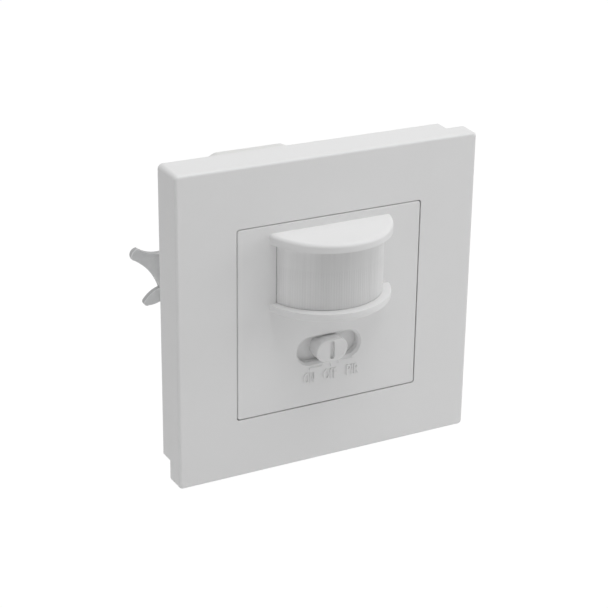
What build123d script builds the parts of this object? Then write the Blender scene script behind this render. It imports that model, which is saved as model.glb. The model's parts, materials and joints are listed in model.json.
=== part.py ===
from build123d import *
import math
import os

os.makedirs("parts", exist_ok=True)

# A flush wall switch with a motion sensor, for a round wall box.
# The wall is the plane y = 0, the room lies towards -Y, +Z is up and +X is
# to the right of somebody who looks at the switch.
# The origin is the point midway between the two box screws, on the wall.
# Every outline that faces the room is drawn on a plane of constant y, and a
# positive extrusion from there grows towards the room.

# Driving sizes, millimetres
frame_side = 82.0
frame_depth = 9.5
frame_wall = 2.2
plate_side = 50.0
plate_thickness = 2.1
box_radius = 30.0
housing_depth = 38.5
housing_wall = 1.6
rear_wall = 1.8
box_screw_spacing = 60.0
yoke_thickness = 1.2
board_thickness = 1.5

# Clearances, millimetres
seam_gap = 0.25
slip_gap = 0.1
loose_gap = 0.4
shaft_gap = 0.05
cut_over = 1.0


def facing(y):
    """The plane of constant y whose normal points to the room."""
    return Plane.XZ.offset(-y)


def finish(piece, name):
    """Labels a finished piece and writes its file."""
    piece.part.label = name
    export_step(piece.part, "parts/" + name + ".step")


# Levels along y, from the wall towards the room
base_floor = 1.4
front_y = -frame_depth
plate_back_y = front_y + plate_thickness
yoke_front_y = -yoke_thickness
base_floor_y = yoke_front_y - base_floor
board_front_y = base_floor_y - board_thickness

# Rear housing plan: a faceted outline inside the round box, with a flat side
# behind each claw. The claw screws and the four housing screws take their
# places from it.
box_play = 0.5
side_angle = 41
shoulder_angle = 56
top_angle = 71
claw_screw_offset = 4.0
boss_inset = 3.3
boss_angle = 48.1
housing_radius = box_radius - box_play
housing_side_x = housing_radius * math.cos(math.radians(side_angle))
housing_flat = housing_radius * math.sin(math.radians(top_angle))
claw_screw_x = housing_side_x + claw_screw_offset
assembly_screw_x = (housing_radius - boss_inset) * math.cos(math.radians(boss_angle))
assembly_screw_z = (housing_radius - boss_inset) * math.sin(math.radians(boss_angle))
corner_angles = (
    [side_angle, shoulder_angle, top_angle]
    + [180 - angle for angle in (top_angle, shoulder_angle, side_angle)]
    + [180 + angle for angle in (side_angle, shoulder_angle, top_angle)]
    + [-angle for angle in (top_angle, shoulder_angle, side_angle)]
)
housing_corners = [
    (housing_radius * math.cos(math.radians(angle)), housing_radius * math.sin(math.radians(angle)))
    for angle in corner_angles
]

with BuildSketch() as housing_plan:
    Polygon(*housing_corners, align=None)
housing_outline = housing_plan.sketch

# Cover frame: a shallow square shell whose sides draw in a little towards
# the room, with a square window and a ledge ring behind it. Two opposite
# back corners are cut away, so that a blade can lift the frame off.
frame_draft = 0.3
frame_corner_radius = 1.3
frame_edge_radius = 0.7
ledge_step = 1.2
ledge_width = 3.2
ledge_height = 1.7
pry_notch_width = 5.5
pry_notch_depth = 4.0
window_corner_radius = 0.8
window_side = plate_side + 2 * seam_gap
face_back_y = front_y + frame_wall
ledge_back_y = face_back_y + ledge_height
ledge_inner = plate_side - 2 * ledge_step
ledge_outer = ledge_inner + 2 * ledge_width
frame_taper = math.degrees(math.atan(frame_draft / frame_depth))
notch_middle = frame_side / 2 - pry_notch_width / 2

with BuildPart() as cover_frame:
    with BuildSketch(facing(0)):
        RectangleRounded(frame_side, frame_side, frame_corner_radius)
    extrude(amount=frame_depth, taper=frame_taper)
    fillet(cover_frame.faces().sort_by(Axis.Y)[0].edges(), frame_edge_radius)
    with BuildSketch(facing(0)):
        Rectangle(frame_side - 2 * frame_wall, frame_side - 2 * frame_wall)
    extrude(amount=frame_depth - frame_wall, mode=Mode.SUBTRACT)
    with BuildSketch(facing(0)):
        RectangleRounded(window_side, window_side, window_corner_radius)
    extrude(amount=frame_depth + cut_over, mode=Mode.SUBTRACT)
    with BuildSketch(facing(ledge_back_y)):
        Rectangle(ledge_outer, ledge_outer)
        Rectangle(ledge_inner, ledge_inner, mode=Mode.SUBTRACT)
    extrude(amount=ledge_height)
    with BuildSketch(facing(cut_over)):
        with Locations((-notch_middle, -notch_middle), (notch_middle, notch_middle)):
            Rectangle(pry_notch_width + cut_over, pry_notch_width + cut_over)
    extrude(amount=pry_notch_depth + cut_over, mode=Mode.SUBTRACT)
finish(cover_frame, "cover_frame")

# Sensor window sizes, shared by the centre plate and the lens. In plan the
# hood, the lens and the lip are bows in front of the plate.
dome_half_width = 16.6
dome_reach = 13.1
lens_half_width = 14.65
lens_reach = 10.6
lens_wall = 0.9
lens_height = 15.5
hood_margin = 2.1
hood_height = 2.6
hood_fall = 0.5
lip_height = 2.2
hood_edge_radius = 0.9
lip_edge_radius = 1.1
dome_root = 0.8
hood_high_z = plate_side / 2 - hood_margin
hood_low_z = hood_high_z - hood_height
lens_high_z = hood_low_z - slip_gap
lens_low_z = lens_high_z - lens_height
lip_high_z = lens_low_z - slip_gap
lens_middle_z = (lens_low_z + lens_high_z) / 2

# Slot and slider sizes, shared by the centre plate and the slide knob
slot_length = 17.2
slot_height = 6.7
slot_z = -10.15
slot_bevel = 0.6
knob_width = 8.8
knob_height = 6.0
knob_reach = 2.0
knob_travel = (slot_length - knob_width) / 2 - 2 * slip_gap


def bow(half_width, reach, back_y, mouth_y):
    """A bow outline in plan: straight sides, then one arc to the room."""
    with BuildSketch() as outline:
        with BuildLine():
            ThreePointArc((-half_width, mouth_y), (0, mouth_y - reach), (half_width, mouth_y))
            Polyline(
                (half_width, mouth_y),
                (half_width, back_y),
                (-half_width, back_y),
                (-half_width, mouth_y),
            )
        make_face()
    return outline.sketch


dome_outline = bow(dome_half_width, dome_reach, front_y + dome_root, front_y)


# Centre plate: a square plate with the hood above the lens, the lip below
# it, the slot for the knob, and a skirt with four snap legs behind.
plate_corner_radius = 0.7
plate_edge_radius = 0.3
skirt_wall = 1.4
skirt_height = 2.8
leg_width = 6.0
leg_length = 1.7
leg_spacing = 30.0
barb_reach = 0.7
barb_height = 0.8
skirt_side = ledge_inner - 2 * loose_gap
skirt_back_y = plate_back_y + skirt_height
leg_back_y = skirt_back_y + leg_length
leg_z = skirt_side / 2 - skirt_wall / 2
barb_z = skirt_side / 2 + barb_reach / 2

with BuildPart() as centre_plate:
    with BuildSketch(facing(plate_back_y)):
        RectangleRounded(plate_side, plate_side, plate_corner_radius)
    extrude(amount=plate_thickness)
    fillet(centre_plate.faces().sort_by(Axis.Y)[0].edges(), plate_edge_radius)
    with BuildSketch(facing(skirt_back_y)):
        Rectangle(skirt_side, skirt_side)
        Rectangle(skirt_side - 2 * skirt_wall, skirt_side - 2 * skirt_wall, mode=Mode.SUBTRACT)
    extrude(amount=skirt_height)
    with BuildSketch(facing(leg_back_y)):
        with Locations((0, leg_z), (0, -leg_z)):
            with GridLocations(leg_spacing, 0, 2, 1):
                Rectangle(leg_width, skirt_wall)
    extrude(amount=leg_length)
    with BuildSketch(facing(leg_back_y)):
        with Locations((0, barb_z), (0, -barb_z)):
            with GridLocations(leg_spacing, 0, 2, 1):
                Rectangle(leg_width, barb_reach)
    extrude(amount=barb_height)
    with BuildSketch(Plane.XY.offset(hood_low_z)):
        add(dome_outline)
    extrude(amount=hood_height)
    with BuildSketch(Plane.YZ.offset(-dome_half_width - cut_over)):
        with BuildLine():
            Polyline(
                (front_y, hood_high_z),
                (front_y - dome_reach - cut_over, hood_high_z - hood_fall),
                (front_y - dome_reach - cut_over, hood_high_z + cut_over),
                (front_y, hood_high_z + cut_over),
                (front_y, hood_high_z),
            )
        make_face()
    extrude(amount=2 * (dome_half_width + cut_over), mode=Mode.SUBTRACT)
    fillet(centre_plate.edges().filter_by(
        lambda e: e.center().Z > hood_high_z - hood_fall
        and e.center().Y < front_y - dome_reach / 2), hood_edge_radius)
    with BuildSketch(Plane.XY.offset(lip_high_z - lip_height)):
        add(dome_outline)
    extrude(amount=lip_height)
    fillet(centre_plate.edges().filter_by(
        lambda e: abs(e.center().Z - lip_high_z + lip_height) < slip_gap
        and e.center().Y < front_y - dome_reach / 2), lip_edge_radius)
    with BuildSketch(facing(plate_back_y + cut_over)):
        with Locations((0, lens_middle_z)):
            Rectangle(2 * (lens_half_width + slip_gap), lens_height + 2 * slip_gap)
    extrude(amount=plate_thickness + 2 * cut_over, mode=Mode.SUBTRACT)
    with BuildSketch(facing(plate_back_y + cut_over)):
        with Locations((0, slot_z)):
            SlotOverall(slot_length, slot_height)
    extrude(amount=plate_thickness + 2 * cut_over, mode=Mode.SUBTRACT)
    chamfer(centre_plate.edges().filter_by(
        lambda e: abs(e.center().Y - front_y) < slip_gap
        and abs(e.center().Z - slot_z) < slot_height
        and abs(e.center().X) < slot_length / 2 + slip_gap), slot_bevel)
finish(centre_plate, "centre_plate")

# Lens: a thin bow of milky plastic between the hood and the lip, with a
# flange that lies behind the centre plate.
flange_margin = 1.6
flange_thickness = 0.8
flange_back_y = plate_back_y + flange_thickness
lens_outside = bow(lens_half_width, lens_reach, plate_back_y, front_y)
lens_inside = bow(
    lens_half_width - lens_wall, lens_reach - lens_wall, flange_back_y + cut_over, front_y
)

with BuildPart() as fresnel_lens:
    with BuildSketch(Plane.XY.offset(lens_low_z)):
        add(lens_outside)
    extrude(amount=lens_height)
    with BuildSketch(facing(flange_back_y)):
        with Locations((0, lens_middle_z)):
            Rectangle(2 * (lens_half_width + flange_margin), lens_height + 2 * flange_margin)
    extrude(amount=flange_thickness)
    with BuildSketch(Plane.XY.offset(lens_low_z)):
        add(lens_inside)
    extrude(amount=lens_height, mode=Mode.SUBTRACT)
finish(fresnel_lens, "fresnel_lens")

# Slide knob: an oval button with a finger groove, on a flat slider that
# closes the slot from behind wherever the knob stands.
slider_thickness = 1.0
slider_margin = 1.4
knob_edge_radius = 0.4
groove_width = 1.3
groove_length = 4.8
groove_depth = 0.8
slider_front_y = plate_back_y + slip_gap
slider_back_y = slider_front_y + slider_thickness
slider_length = slot_length + 2 * knob_travel + 2 * slider_margin
slider_height = slot_height + 2 * slider_margin
lever_side = 1.9
lever_pocket = 0.6

with BuildPart() as slide_knob:
    with BuildSketch(facing(slider_back_y)):
        with Locations((0, slot_z)):
            RectangleRounded(slider_length, slider_height, slider_margin)
    extrude(amount=slider_thickness)
    with BuildSketch(facing(slider_front_y)):
        with Locations((0, slot_z)):
            SlotOverall(knob_width, knob_height)
    extrude(amount=slip_gap + plate_thickness + knob_reach)
    fillet(slide_knob.faces().sort_by(Axis.Y)[0].edges(), knob_edge_radius)
    with BuildSketch(facing(front_y - knob_reach + groove_depth)):
        with Locations((0, slot_z)):
            SlotOverall(groove_length, groove_width, rotation=90)
    extrude(amount=groove_depth + cut_over, mode=Mode.SUBTRACT)
    with BuildSketch(facing(slider_back_y)):
        with Locations((0, slot_z)):
            Rectangle(lever_side, lever_side)
    extrude(amount=lever_pocket, mode=Mode.SUBTRACT)
finish(slide_knob, "slide_knob")

# Slide switch on the sensor board: a low body with a window, and the lever
# that the knob carries along.
switch_length = 17.0
switch_height = 6.0
switch_top_y = slider_back_y + slip_gap
lever_well = 1.2
lever_window_height = lever_side + 2 * slip_gap
lever_window_length = lever_side + 2 * knob_travel + 2 * slip_gap
lever_back_y = switch_top_y + lever_well - slip_gap
lever_front_y = slider_back_y - lever_pocket

with BuildPart() as slide_switch_body:
    with BuildSketch(facing(board_front_y)):
        with Locations((0, slot_z)):
            Rectangle(switch_length, switch_height)
    extrude(amount=board_front_y - switch_top_y)
    with BuildSketch(facing(switch_top_y + lever_well)):
        with Locations((0, slot_z)):
            Rectangle(lever_window_length, lever_window_height)
    extrude(amount=lever_well + cut_over, mode=Mode.SUBTRACT)
finish(slide_switch_body, "slide_switch_body")

with BuildPart() as slide_switch_lever:
    with BuildSketch(facing(lever_back_y)):
        with Locations((0, slot_z)):
            Rectangle(lever_side, lever_side)
    extrude(amount=lever_back_y - lever_front_y)
finish(slide_switch_lever, "slide_switch_lever")

# Header pins between the two boards, in one row
pin_count = 5
pin_pitch = 2.54
pin_side = 0.64
pin_hole_radius = 0.5
pin_tail = 0.6
header_rise = 10.7
header_z = header_rise - housing_flat

# Sensor board: carries the sensor, the light sensor, the slide switch and
# the two trimmers.
board_gap = 0.3
board_corner_radius = 1.0
board_side = skirt_side - 2 * skirt_wall - 2 * board_gap

with BuildPart() as sensor_board:
    with BuildSketch(facing(base_floor_y)):
        RectangleRounded(board_side, board_side, board_corner_radius)
        with Locations((0, header_z)):
            with GridLocations(pin_pitch, 0, pin_count, 1):
                Circle(pin_hole_radius, mode=Mode.SUBTRACT)
    extrude(amount=board_thickness)
finish(sensor_board, "sensor_board")

# Motion sensor: a metal can with a window, on a round base
pir_base_radius = 4.6
pir_base_height = 0.8
pir_can_radius = 4.1
pir_can_wall = 0.4
pir_can_height = 3.5
pir_opening_width = 4.6
pir_opening_height = 3.4
pir_window_margin = 0.3
pir_window_thickness = 0.4
pir_base_y = board_front_y - pir_base_height
pir_roof_y = pir_base_y - pir_can_height + pir_can_wall
pir_window_width = pir_opening_width + 2 * pir_window_margin
pir_window_height = pir_opening_height + 2 * pir_window_margin

with BuildPart() as pir_sensor_base:
    with BuildSketch(facing(board_front_y)):
        with Locations((0, lens_middle_z)):
            Circle(pir_base_radius)
    extrude(amount=pir_base_height)
finish(pir_sensor_base, "pir_sensor_base")

with BuildPart() as pir_sensor_can:
    with BuildSketch(facing(pir_base_y)):
        with Locations((0, lens_middle_z)):
            Circle(pir_can_radius)
    extrude(amount=pir_can_height)
    with BuildSketch(facing(pir_base_y)):
        with Locations((0, lens_middle_z)):
            Circle(pir_can_radius - pir_can_wall)
    extrude(amount=pir_can_height - pir_can_wall, mode=Mode.SUBTRACT)
    with BuildSketch(facing(pir_base_y)):
        with Locations((0, lens_middle_z)):
            Rectangle(pir_opening_width, pir_opening_height)
    extrude(amount=pir_can_height + cut_over, mode=Mode.SUBTRACT)
finish(pir_sensor_can, "pir_sensor_can")

with BuildPart() as pir_sensor_window:
    with BuildSketch(facing(pir_roof_y + pir_window_thickness)):
        with Locations((0, lens_middle_z)):
            Rectangle(pir_window_width, pir_window_height)
    extrude(amount=pir_window_thickness)
finish(pir_sensor_window, "pir_sensor_window")

# Light sensor beside the motion sensor: a small clear dome on a short stem
light_sensor_x = 9.4
light_sensor_radius = 1.5
light_sensor_height = 3.4
light_sensor_rounding = 1.2

with BuildPart() as light_sensor:
    with BuildSketch(facing(board_front_y)):
        with Locations((light_sensor_x, lens_middle_z)):
            Circle(light_sensor_radius)
    extrude(amount=light_sensor_height)
    fillet(light_sensor.faces().sort_by(Axis.Y)[0].edges(), light_sensor_rounding)
finish(light_sensor, "light_sensor")

# Trimmers: a square body with a round well, and a rotor with a cross slot
trimmer_side = 6.0
trimmer_height = 1.5
trimmer_inset = 3.5
trimmer_x = 12.0
rotor_radius = 2.0
rotor_height = 1.1
rotor_well = 0.6
rotor_slot_length = 2.8
rotor_slot_width = 0.6
rotor_slot_depth = 0.5
trimmer_z = trimmer_inset - board_side / 2
trimmer_front_y = board_front_y - trimmer_height
rotor_back_y = trimmer_front_y + rotor_well - slip_gap
rotor_front_y = rotor_back_y - rotor_height

for name, side in (("time_trimmer", -1), ("light_trimmer", 1)):
    with BuildPart() as trimmer_body:
        with BuildSketch(facing(board_front_y)):
            with Locations((side * trimmer_x, trimmer_z)):
                Rectangle(trimmer_side, trimmer_side)
        extrude(amount=trimmer_height)
        with BuildSketch(facing(trimmer_front_y + rotor_well)):
            with Locations((side * trimmer_x, trimmer_z)):
                Circle(rotor_radius + shaft_gap)
        extrude(amount=rotor_well + cut_over, mode=Mode.SUBTRACT)
    finish(trimmer_body, name + "_body")

    with BuildPart() as trimmer_rotor:
        with BuildSketch(facing(rotor_back_y)):
            with Locations((side * trimmer_x, trimmer_z)):
                Circle(rotor_radius)
        extrude(amount=rotor_height)
        with BuildSketch(facing(rotor_front_y + rotor_slot_depth)):
            with Locations((side * trimmer_x, trimmer_z)):
                Rectangle(rotor_slot_length, rotor_slot_width)
                Rectangle(rotor_slot_width, rotor_slot_length)
        extrude(amount=rotor_slot_depth + cut_over, mode=Mode.SUBTRACT)
    finish(trimmer_rotor, name + "_rotor")

# Base plate: a plastic tray in front of the steel yoke. Its ring carries the
# cover frame's ledge, its pockets hold the barbs of the centre plate, and
# its notches leave room for the heads of the box screws and claw screws.
base_margin = 2.0
ring_gap = 0.2
base_side = ledge_outer + 2 * base_margin
ring_inner = skirt_side + 2 * ring_gap
barb_gap = 0.2
pocket_width = leg_width + 2 * loose_gap
pocket_front_y = leg_back_y - barb_height - loose_gap
pocket_span = skirt_side + 2 * (barb_reach + barb_gap)
box_notch_width = 9.6
box_head_room = 4.4
claw_head_radius = 3.0
claw_head_height = 2.0
box_notch_inner_z = box_screw_spacing / 2 - box_head_room
claw_notch_inner_x = claw_screw_x - claw_head_radius - loose_gap
claw_notch_width = 2 * (claw_head_radius + loose_gap)
notch_reach = base_side / 2 + cut_over
header_slot_length = 14.0
header_slot_height = 3.6
assembly_screw_radius = 1.2
assembly_head_radius = 2.5
box_notch_depth = notch_reach - box_notch_inner_z
claw_notch_depth = notch_reach - claw_notch_inner_x
box_notch_z = (notch_reach + box_notch_inner_z) / 2
claw_notch_x = (notch_reach + claw_notch_inner_x) / 2

with BuildPart() as base_plate:
    with BuildSketch(facing(yoke_front_y)):
        Rectangle(base_side, base_side)
    extrude(amount=yoke_front_y - ledge_back_y)
    with BuildSketch(facing(base_floor_y)):
        Rectangle(ring_inner, ring_inner)
    extrude(amount=frame_depth, mode=Mode.SUBTRACT)
    with BuildSketch(facing(base_floor_y)):
        with GridLocations(leg_spacing, 0, 2, 1):
            Rectangle(pocket_width, pocket_span)
    extrude(amount=base_floor_y - pocket_front_y, mode=Mode.SUBTRACT)
    with BuildSketch(facing(yoke_front_y + cut_over)):
        with Locations((0, box_notch_z), (0, -box_notch_z)):
            Rectangle(box_notch_width, box_notch_depth)
        with Locations((claw_notch_x, 0), (-claw_notch_x, 0)):
            Rectangle(claw_notch_depth, claw_notch_width)
        with Locations((0, header_z)):
            Rectangle(header_slot_length, header_slot_height)
    extrude(amount=frame_depth, mode=Mode.SUBTRACT)
    with Locations(facing(base_floor_y)):
        with GridLocations(2 * assembly_screw_x, 2 * assembly_screw_z, 2, 2):
            CounterSinkHole(assembly_screw_radius, assembly_head_radius, base_floor + cut_over)
finish(base_plate, "base_plate")

# Mounting yoke: the square steel plate that lies on the wall
yoke_corner_radius = 5.0
yoke_margin = 5.5
yoke_opening_width = 28.0
yoke_opening_height = 44.0
box_hole_radius = 2.1
claw_shank_radius = 1.5
yoke_side = frame_side - 2 * yoke_margin

with BuildPart() as mounting_yoke:
    with BuildSketch(facing(0)):
        RectangleRounded(yoke_side, yoke_side, yoke_corner_radius)
        Rectangle(yoke_opening_width, yoke_opening_height, mode=Mode.SUBTRACT)
        with GridLocations(0, box_screw_spacing, 1, 2):
            Circle(box_hole_radius, mode=Mode.SUBTRACT)
        with GridLocations(2 * claw_screw_x, 0, 2, 1):
            Circle(claw_shank_radius + shaft_gap, mode=Mode.SUBTRACT)
        with GridLocations(2 * assembly_screw_x, 2 * assembly_screw_z, 2, 2):
            Circle(assembly_screw_radius + loose_gap, mode=Mode.SUBTRACT)
    extrude(amount=yoke_thickness)
finish(mounting_yoke, "mounting_yoke")

# Housing screws: four countersunk screws that clamp base plate, yoke and
# rear housing together
assembly_screw_length = 9.0
assembly_recess_length = 3.0
assembly_recess_width = 0.6
assembly_recess_depth = 0.6
assembly_cone_height = assembly_head_radius - assembly_screw_radius
assembly_tip_y = base_floor_y + assembly_screw_length

with BuildPart() as housing_screws:
    with BuildSketch(facing(assembly_tip_y)):
        with GridLocations(2 * assembly_screw_x, 2 * assembly_screw_z, 2, 2):
            Circle(assembly_screw_radius)
    extrude(amount=assembly_screw_length)
    with Locations(facing(base_floor_y + assembly_cone_height)):
        with GridLocations(2 * assembly_screw_x, 2 * assembly_screw_z, 2, 2):
            Cone(
                assembly_screw_radius,
                assembly_head_radius,
                assembly_cone_height,
                align=(Align.CENTER, Align.CENTER, Align.MIN),
            )
    with BuildSketch(facing(base_floor_y + assembly_recess_depth)):
        with GridLocations(2 * assembly_screw_x, 2 * assembly_screw_z, 2, 2):
            Rectangle(assembly_recess_length, assembly_recess_width)
            Rectangle(assembly_recess_width, assembly_recess_length)
    extrude(amount=assembly_recess_depth + cut_over, mode=Mode.SUBTRACT)
finish(housing_screws, "housing_screws")

# Terminals: three in a row along the lower edge of the rear housing. A wire
# comes in from the back, lies between the bar and the cage's far wall, and
# the screw pulls the cage against it.
terminal_count = 3
terminal_pitch = 7.0
terminal_inset = 7.6
wire_height = 9.9
wire_radius = 1.5
bar_width = 3.2
bar_thickness = 1.0
bar_inset = 1.6
cage_wall = 0.8
cage_width = 5.4
cage_length = 6.0
cage_height = 7.5
cage_travel = 2.2
terminal_shank_radius = 1.45
terminal_head_radius = 2.3
terminal_head_height = 1.7
terminal_access_radius = 2.5
block_length = 14.6
rear_inside_y = housing_depth - rear_wall
block_back_y = rear_inside_y - slip_gap
block_front_y = block_back_y - block_length
terminal_y = block_back_y - terminal_inset
bar_end_y = block_back_y - bar_inset
wire_z = wire_height - housing_flat
wire_hole_radius = wire_radius + slip_gap
bar_top_z = wire_z - wire_hole_radius - shaft_gap
bar_low_z = bar_top_z - bar_thickness
cage_top_z = wire_z + wire_hole_radius + cage_wall
cage_low_z = cage_top_z - cage_height
block_low_z = housing_wall + slip_gap - housing_flat
terminal_head_z = block_low_z - slip_gap
terminal_xs = (-terminal_pitch, 0, terminal_pitch)

# Power board: stands across the rear housing, in front of the terminals
power_board_thickness = 1.6
power_board_lift = 1.0
power_board_back_y = block_front_y - power_board_lift
power_board_front_y = power_board_back_y - power_board_thickness

# Rear housing: a faceted box that goes into the round wall box, with four
# screw bosses at the front, two posts at the back and holes for the wires
# and the terminal screws.
boss_radius = 2.6
boss_room = 5.4
boss_bore_length = 10.0
post_radius = 2.6
post_inset = 4.2
post_z = 10.0
board_screw_radius = 1.1
post_bore_length = 9.0
boss_length = power_board_front_y - boss_room
post_x = housing_side_x - housing_wall - post_inset

with BuildPart() as rear_housing:
    with BuildSketch(facing(housing_depth)):
        add(housing_outline)
    extrude(amount=housing_depth)
    with BuildSketch(facing(rear_inside_y)):
        add(housing_outline)
        offset(amount=-housing_wall, kind=Kind.INTERSECTION)
    extrude(amount=rear_inside_y + cut_over, mode=Mode.SUBTRACT)
    with BuildSketch(facing(boss_length)):
        with GridLocations(2 * assembly_screw_x, 2 * assembly_screw_z, 2, 2):
            Circle(boss_radius)
    extrude(amount=boss_length)
    with BuildSketch(facing(boss_bore_length)):
        with GridLocations(2 * assembly_screw_x, 2 * assembly_screw_z, 2, 2):
            Circle(assembly_screw_radius)
    extrude(amount=boss_bore_length + cut_over, mode=Mode.SUBTRACT)
    with BuildSketch(facing(rear_inside_y)):
        with Locations((0, post_z)):
            with GridLocations(2 * post_x, 0, 2, 1):
                Circle(post_radius)
    extrude(amount=rear_inside_y - power_board_back_y)
    with BuildSketch(facing(power_board_back_y + post_bore_length)):
        with Locations((0, post_z)):
            with GridLocations(2 * post_x, 0, 2, 1):
                Circle(board_screw_radius)
    extrude(amount=post_bore_length, mode=Mode.SUBTRACT)
    with BuildSketch(facing(housing_depth + cut_over)):
        with Locations((0, wire_z)):
            with GridLocations(terminal_pitch, 0, terminal_count, 1):
                Circle(wire_hole_radius)
    extrude(amount=rear_wall + 2 * cut_over, mode=Mode.SUBTRACT)
    with BuildSketch(Plane.XY.offset(-box_radius)):
        with Locations((0, terminal_y)):
            with GridLocations(terminal_pitch, 0, terminal_count, 1):
                Circle(terminal_access_radius)
    extrude(amount=box_radius + terminal_head_z + cut_over, mode=Mode.SUBTRACT)
finish(rear_housing, "rear_housing")

with BuildPart() as power_board:
    with BuildSketch(facing(power_board_back_y)):
        add(housing_outline)
        offset(amount=-(housing_wall + board_gap), kind=Kind.INTERSECTION)
        with Locations((0, post_z)):
            with GridLocations(2 * post_x, 0, 2, 1):
                Circle(board_screw_radius + slip_gap, mode=Mode.SUBTRACT)
        with Locations((0, header_z)):
            with GridLocations(pin_pitch, 0, pin_count, 1):
                Circle(pin_hole_radius, mode=Mode.SUBTRACT)
    extrude(amount=power_board_thickness)
finish(power_board, "power_board")

# Screws that hold the power board
board_head_radius = 2.3
board_head_height = 1.5
board_recess_length = 2.6
board_recess_width = 0.6
board_recess_depth = 0.7
board_screw_tip_y = power_board_back_y + post_bore_length - loose_gap
board_head_front_y = power_board_front_y - board_head_height

with BuildPart() as board_screws:
    with BuildSketch(facing(board_screw_tip_y)):
        with Locations((0, post_z)):
            with GridLocations(2 * post_x, 0, 2, 1):
                Circle(board_screw_radius)
    extrude(amount=board_screw_tip_y - power_board_front_y)
    with BuildSketch(facing(power_board_front_y)):
        with Locations((0, post_z)):
            with GridLocations(2 * post_x, 0, 2, 1):
                Circle(board_head_radius)
    extrude(amount=board_head_height)
    with BuildSketch(facing(board_head_front_y + board_recess_depth)):
        with Locations((0, post_z)):
            with GridLocations(2 * post_x, 0, 2, 1):
                Rectangle(board_recess_length, board_recess_width)
                Rectangle(board_recess_width, board_recess_length)
    extrude(amount=board_recess_depth + cut_over, mode=Mode.SUBTRACT)
finish(board_screws, "board_screws")

# Header between the boards: a tall plastic body with five square pins
header_length = 13.0
header_height = 2.5
header_front_y = -0.6
pin_front_y = board_front_y - pin_tail
pin_back_y = power_board_back_y + pin_tail

with BuildPart() as board_connector_body:
    with BuildSketch(facing(power_board_front_y)):
        with Locations((0, header_z)):
            Rectangle(header_length, header_height)
            with GridLocations(pin_pitch, 0, pin_count, 1):
                Rectangle(pin_side, pin_side, mode=Mode.SUBTRACT)
    extrude(amount=power_board_front_y - header_front_y)
finish(board_connector_body, "board_connector_body")

with BuildPart() as board_connector_pins:
    with BuildSketch(facing(pin_back_y)):
        with Locations((0, header_z)):
            with GridLocations(pin_pitch, 0, pin_count, 1):
                Rectangle(pin_side, pin_side)
    extrude(amount=pin_back_y - pin_front_y)
finish(board_connector_pins, "board_connector_pins")

# Blocks on the front of the power board: the relay and the mains capacitor.
# Their places, and those of the smaller parts, are shares of the housing's
# radius.
relay_size = (19.0, 15.5)
relay_place_share = (-0.1356, 0.2712)
capacitor_size = (18.0, 8.5)
capacitor_place_share = (-0.1356, -0.2373)
block_edge_radius = 0.6
front_room = 4.4

for name, size, share in (
    ("relay", relay_size, relay_place_share),
    ("mains_capacitor", capacitor_size, capacitor_place_share),
):
    with BuildPart() as block:
        with BuildSketch(facing(power_board_front_y)):
            with Locations((share[0] * housing_radius, share[1] * housing_radius)):
                Rectangle(*size)
        extrude(amount=power_board_front_y - front_room)
        fillet(block.edges().filter_by(Axis.Y), block_edge_radius)
        fillet(block.faces().sort_by(Axis.Y)[0].edges(), block_edge_radius)
    finish(block, name)

# Smoothing capacitors: two upright cans with a groove around the foot
can_radius = 4.0
can_height = 11.0
can_place_share = (0.4068, -0.0407)
can_spacing = 9.4
can_groove_depth = 0.3
can_groove_height = 0.8
can_groove_foot = 1.4
can_edge_radius = 0.5
can_groove_y = power_board_front_y - can_groove_foot
can_x = can_place_share[0] * housing_radius
can_z = can_place_share[1] * housing_radius

with BuildPart() as smoothing_capacitors:
    with BuildSketch(facing(power_board_front_y)):
        with Locations((can_x, can_z)):
            with GridLocations(0, can_spacing, 1, 2):
                Circle(can_radius)
    extrude(amount=can_height)
    fillet(smoothing_capacitors.faces().group_by(Axis.Y)[0].edges(), can_edge_radius)
    with BuildSketch(facing(can_groove_y)):
        with Locations((can_x, can_z)):
            with GridLocations(0, can_spacing, 1, 2):
                Circle(can_radius + can_groove_depth)
            with GridLocations(0, can_spacing, 1, 2):
                Circle(can_radius - can_groove_depth, mode=Mode.SUBTRACT)
    extrude(amount=can_groove_height, mode=Mode.SUBTRACT)
finish(smoothing_capacitors, "smoothing_capacitors")

# Varistor: an upright disc on two legs
varistor_inset = 4.3
varistor_place_share = -0.1356
varistor_radius = 4.5
varistor_thickness = 3.4
leg_radius = 0.4
varistor_leg_spacing = 5.0
varistor_lift = 1.5
varistor_x = housing_wall + varistor_inset - housing_side_x
varistor_y = power_board_front_y - varistor_lift - varistor_radius
varistor_z = varistor_place_share * housing_radius

with BuildPart() as varistor:
    with BuildSketch(Plane.YZ.offset(varistor_x - varistor_thickness / 2)):
        with Locations((varistor_y, varistor_z)):
            Circle(varistor_radius)
    extrude(amount=varistor_thickness)
    with BuildSketch(facing(power_board_front_y)):
        with Locations((varistor_x, varistor_z)):
            with GridLocations(0, varistor_leg_spacing, 1, 2):
                Circle(leg_radius)
    extrude(amount=varistor_lift + varistor_radius)
finish(varistor, "varistor")

# Parts that lie on the power board: fuse, diodes and resistors
fuse_radius = 2.6
fuse_length = 12.0
fuse_cap_length = 3.0
fuse_cap_step = 0.2
fuse_place_share = (-0.0678, 0.6915)
diode_radius = 1.35
diode_length = 5.2
diode_place_share = (0.339, 0.522)
diode_spacing_x = 4.0
diode_spacing_z = 8.6
resistor_radius = 1.7
resistor_length = 8.0
resistor_place_share = (0.4136, -0.4746)
fuse_x = fuse_place_share[0] * housing_radius
fuse_z = fuse_place_share[1] * housing_radius
diode_x = diode_place_share[0] * housing_radius
diode_z = diode_place_share[1] * housing_radius
resistor_x = resistor_place_share[0] * housing_radius
resistor_z = resistor_place_share[1] * housing_radius

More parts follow.
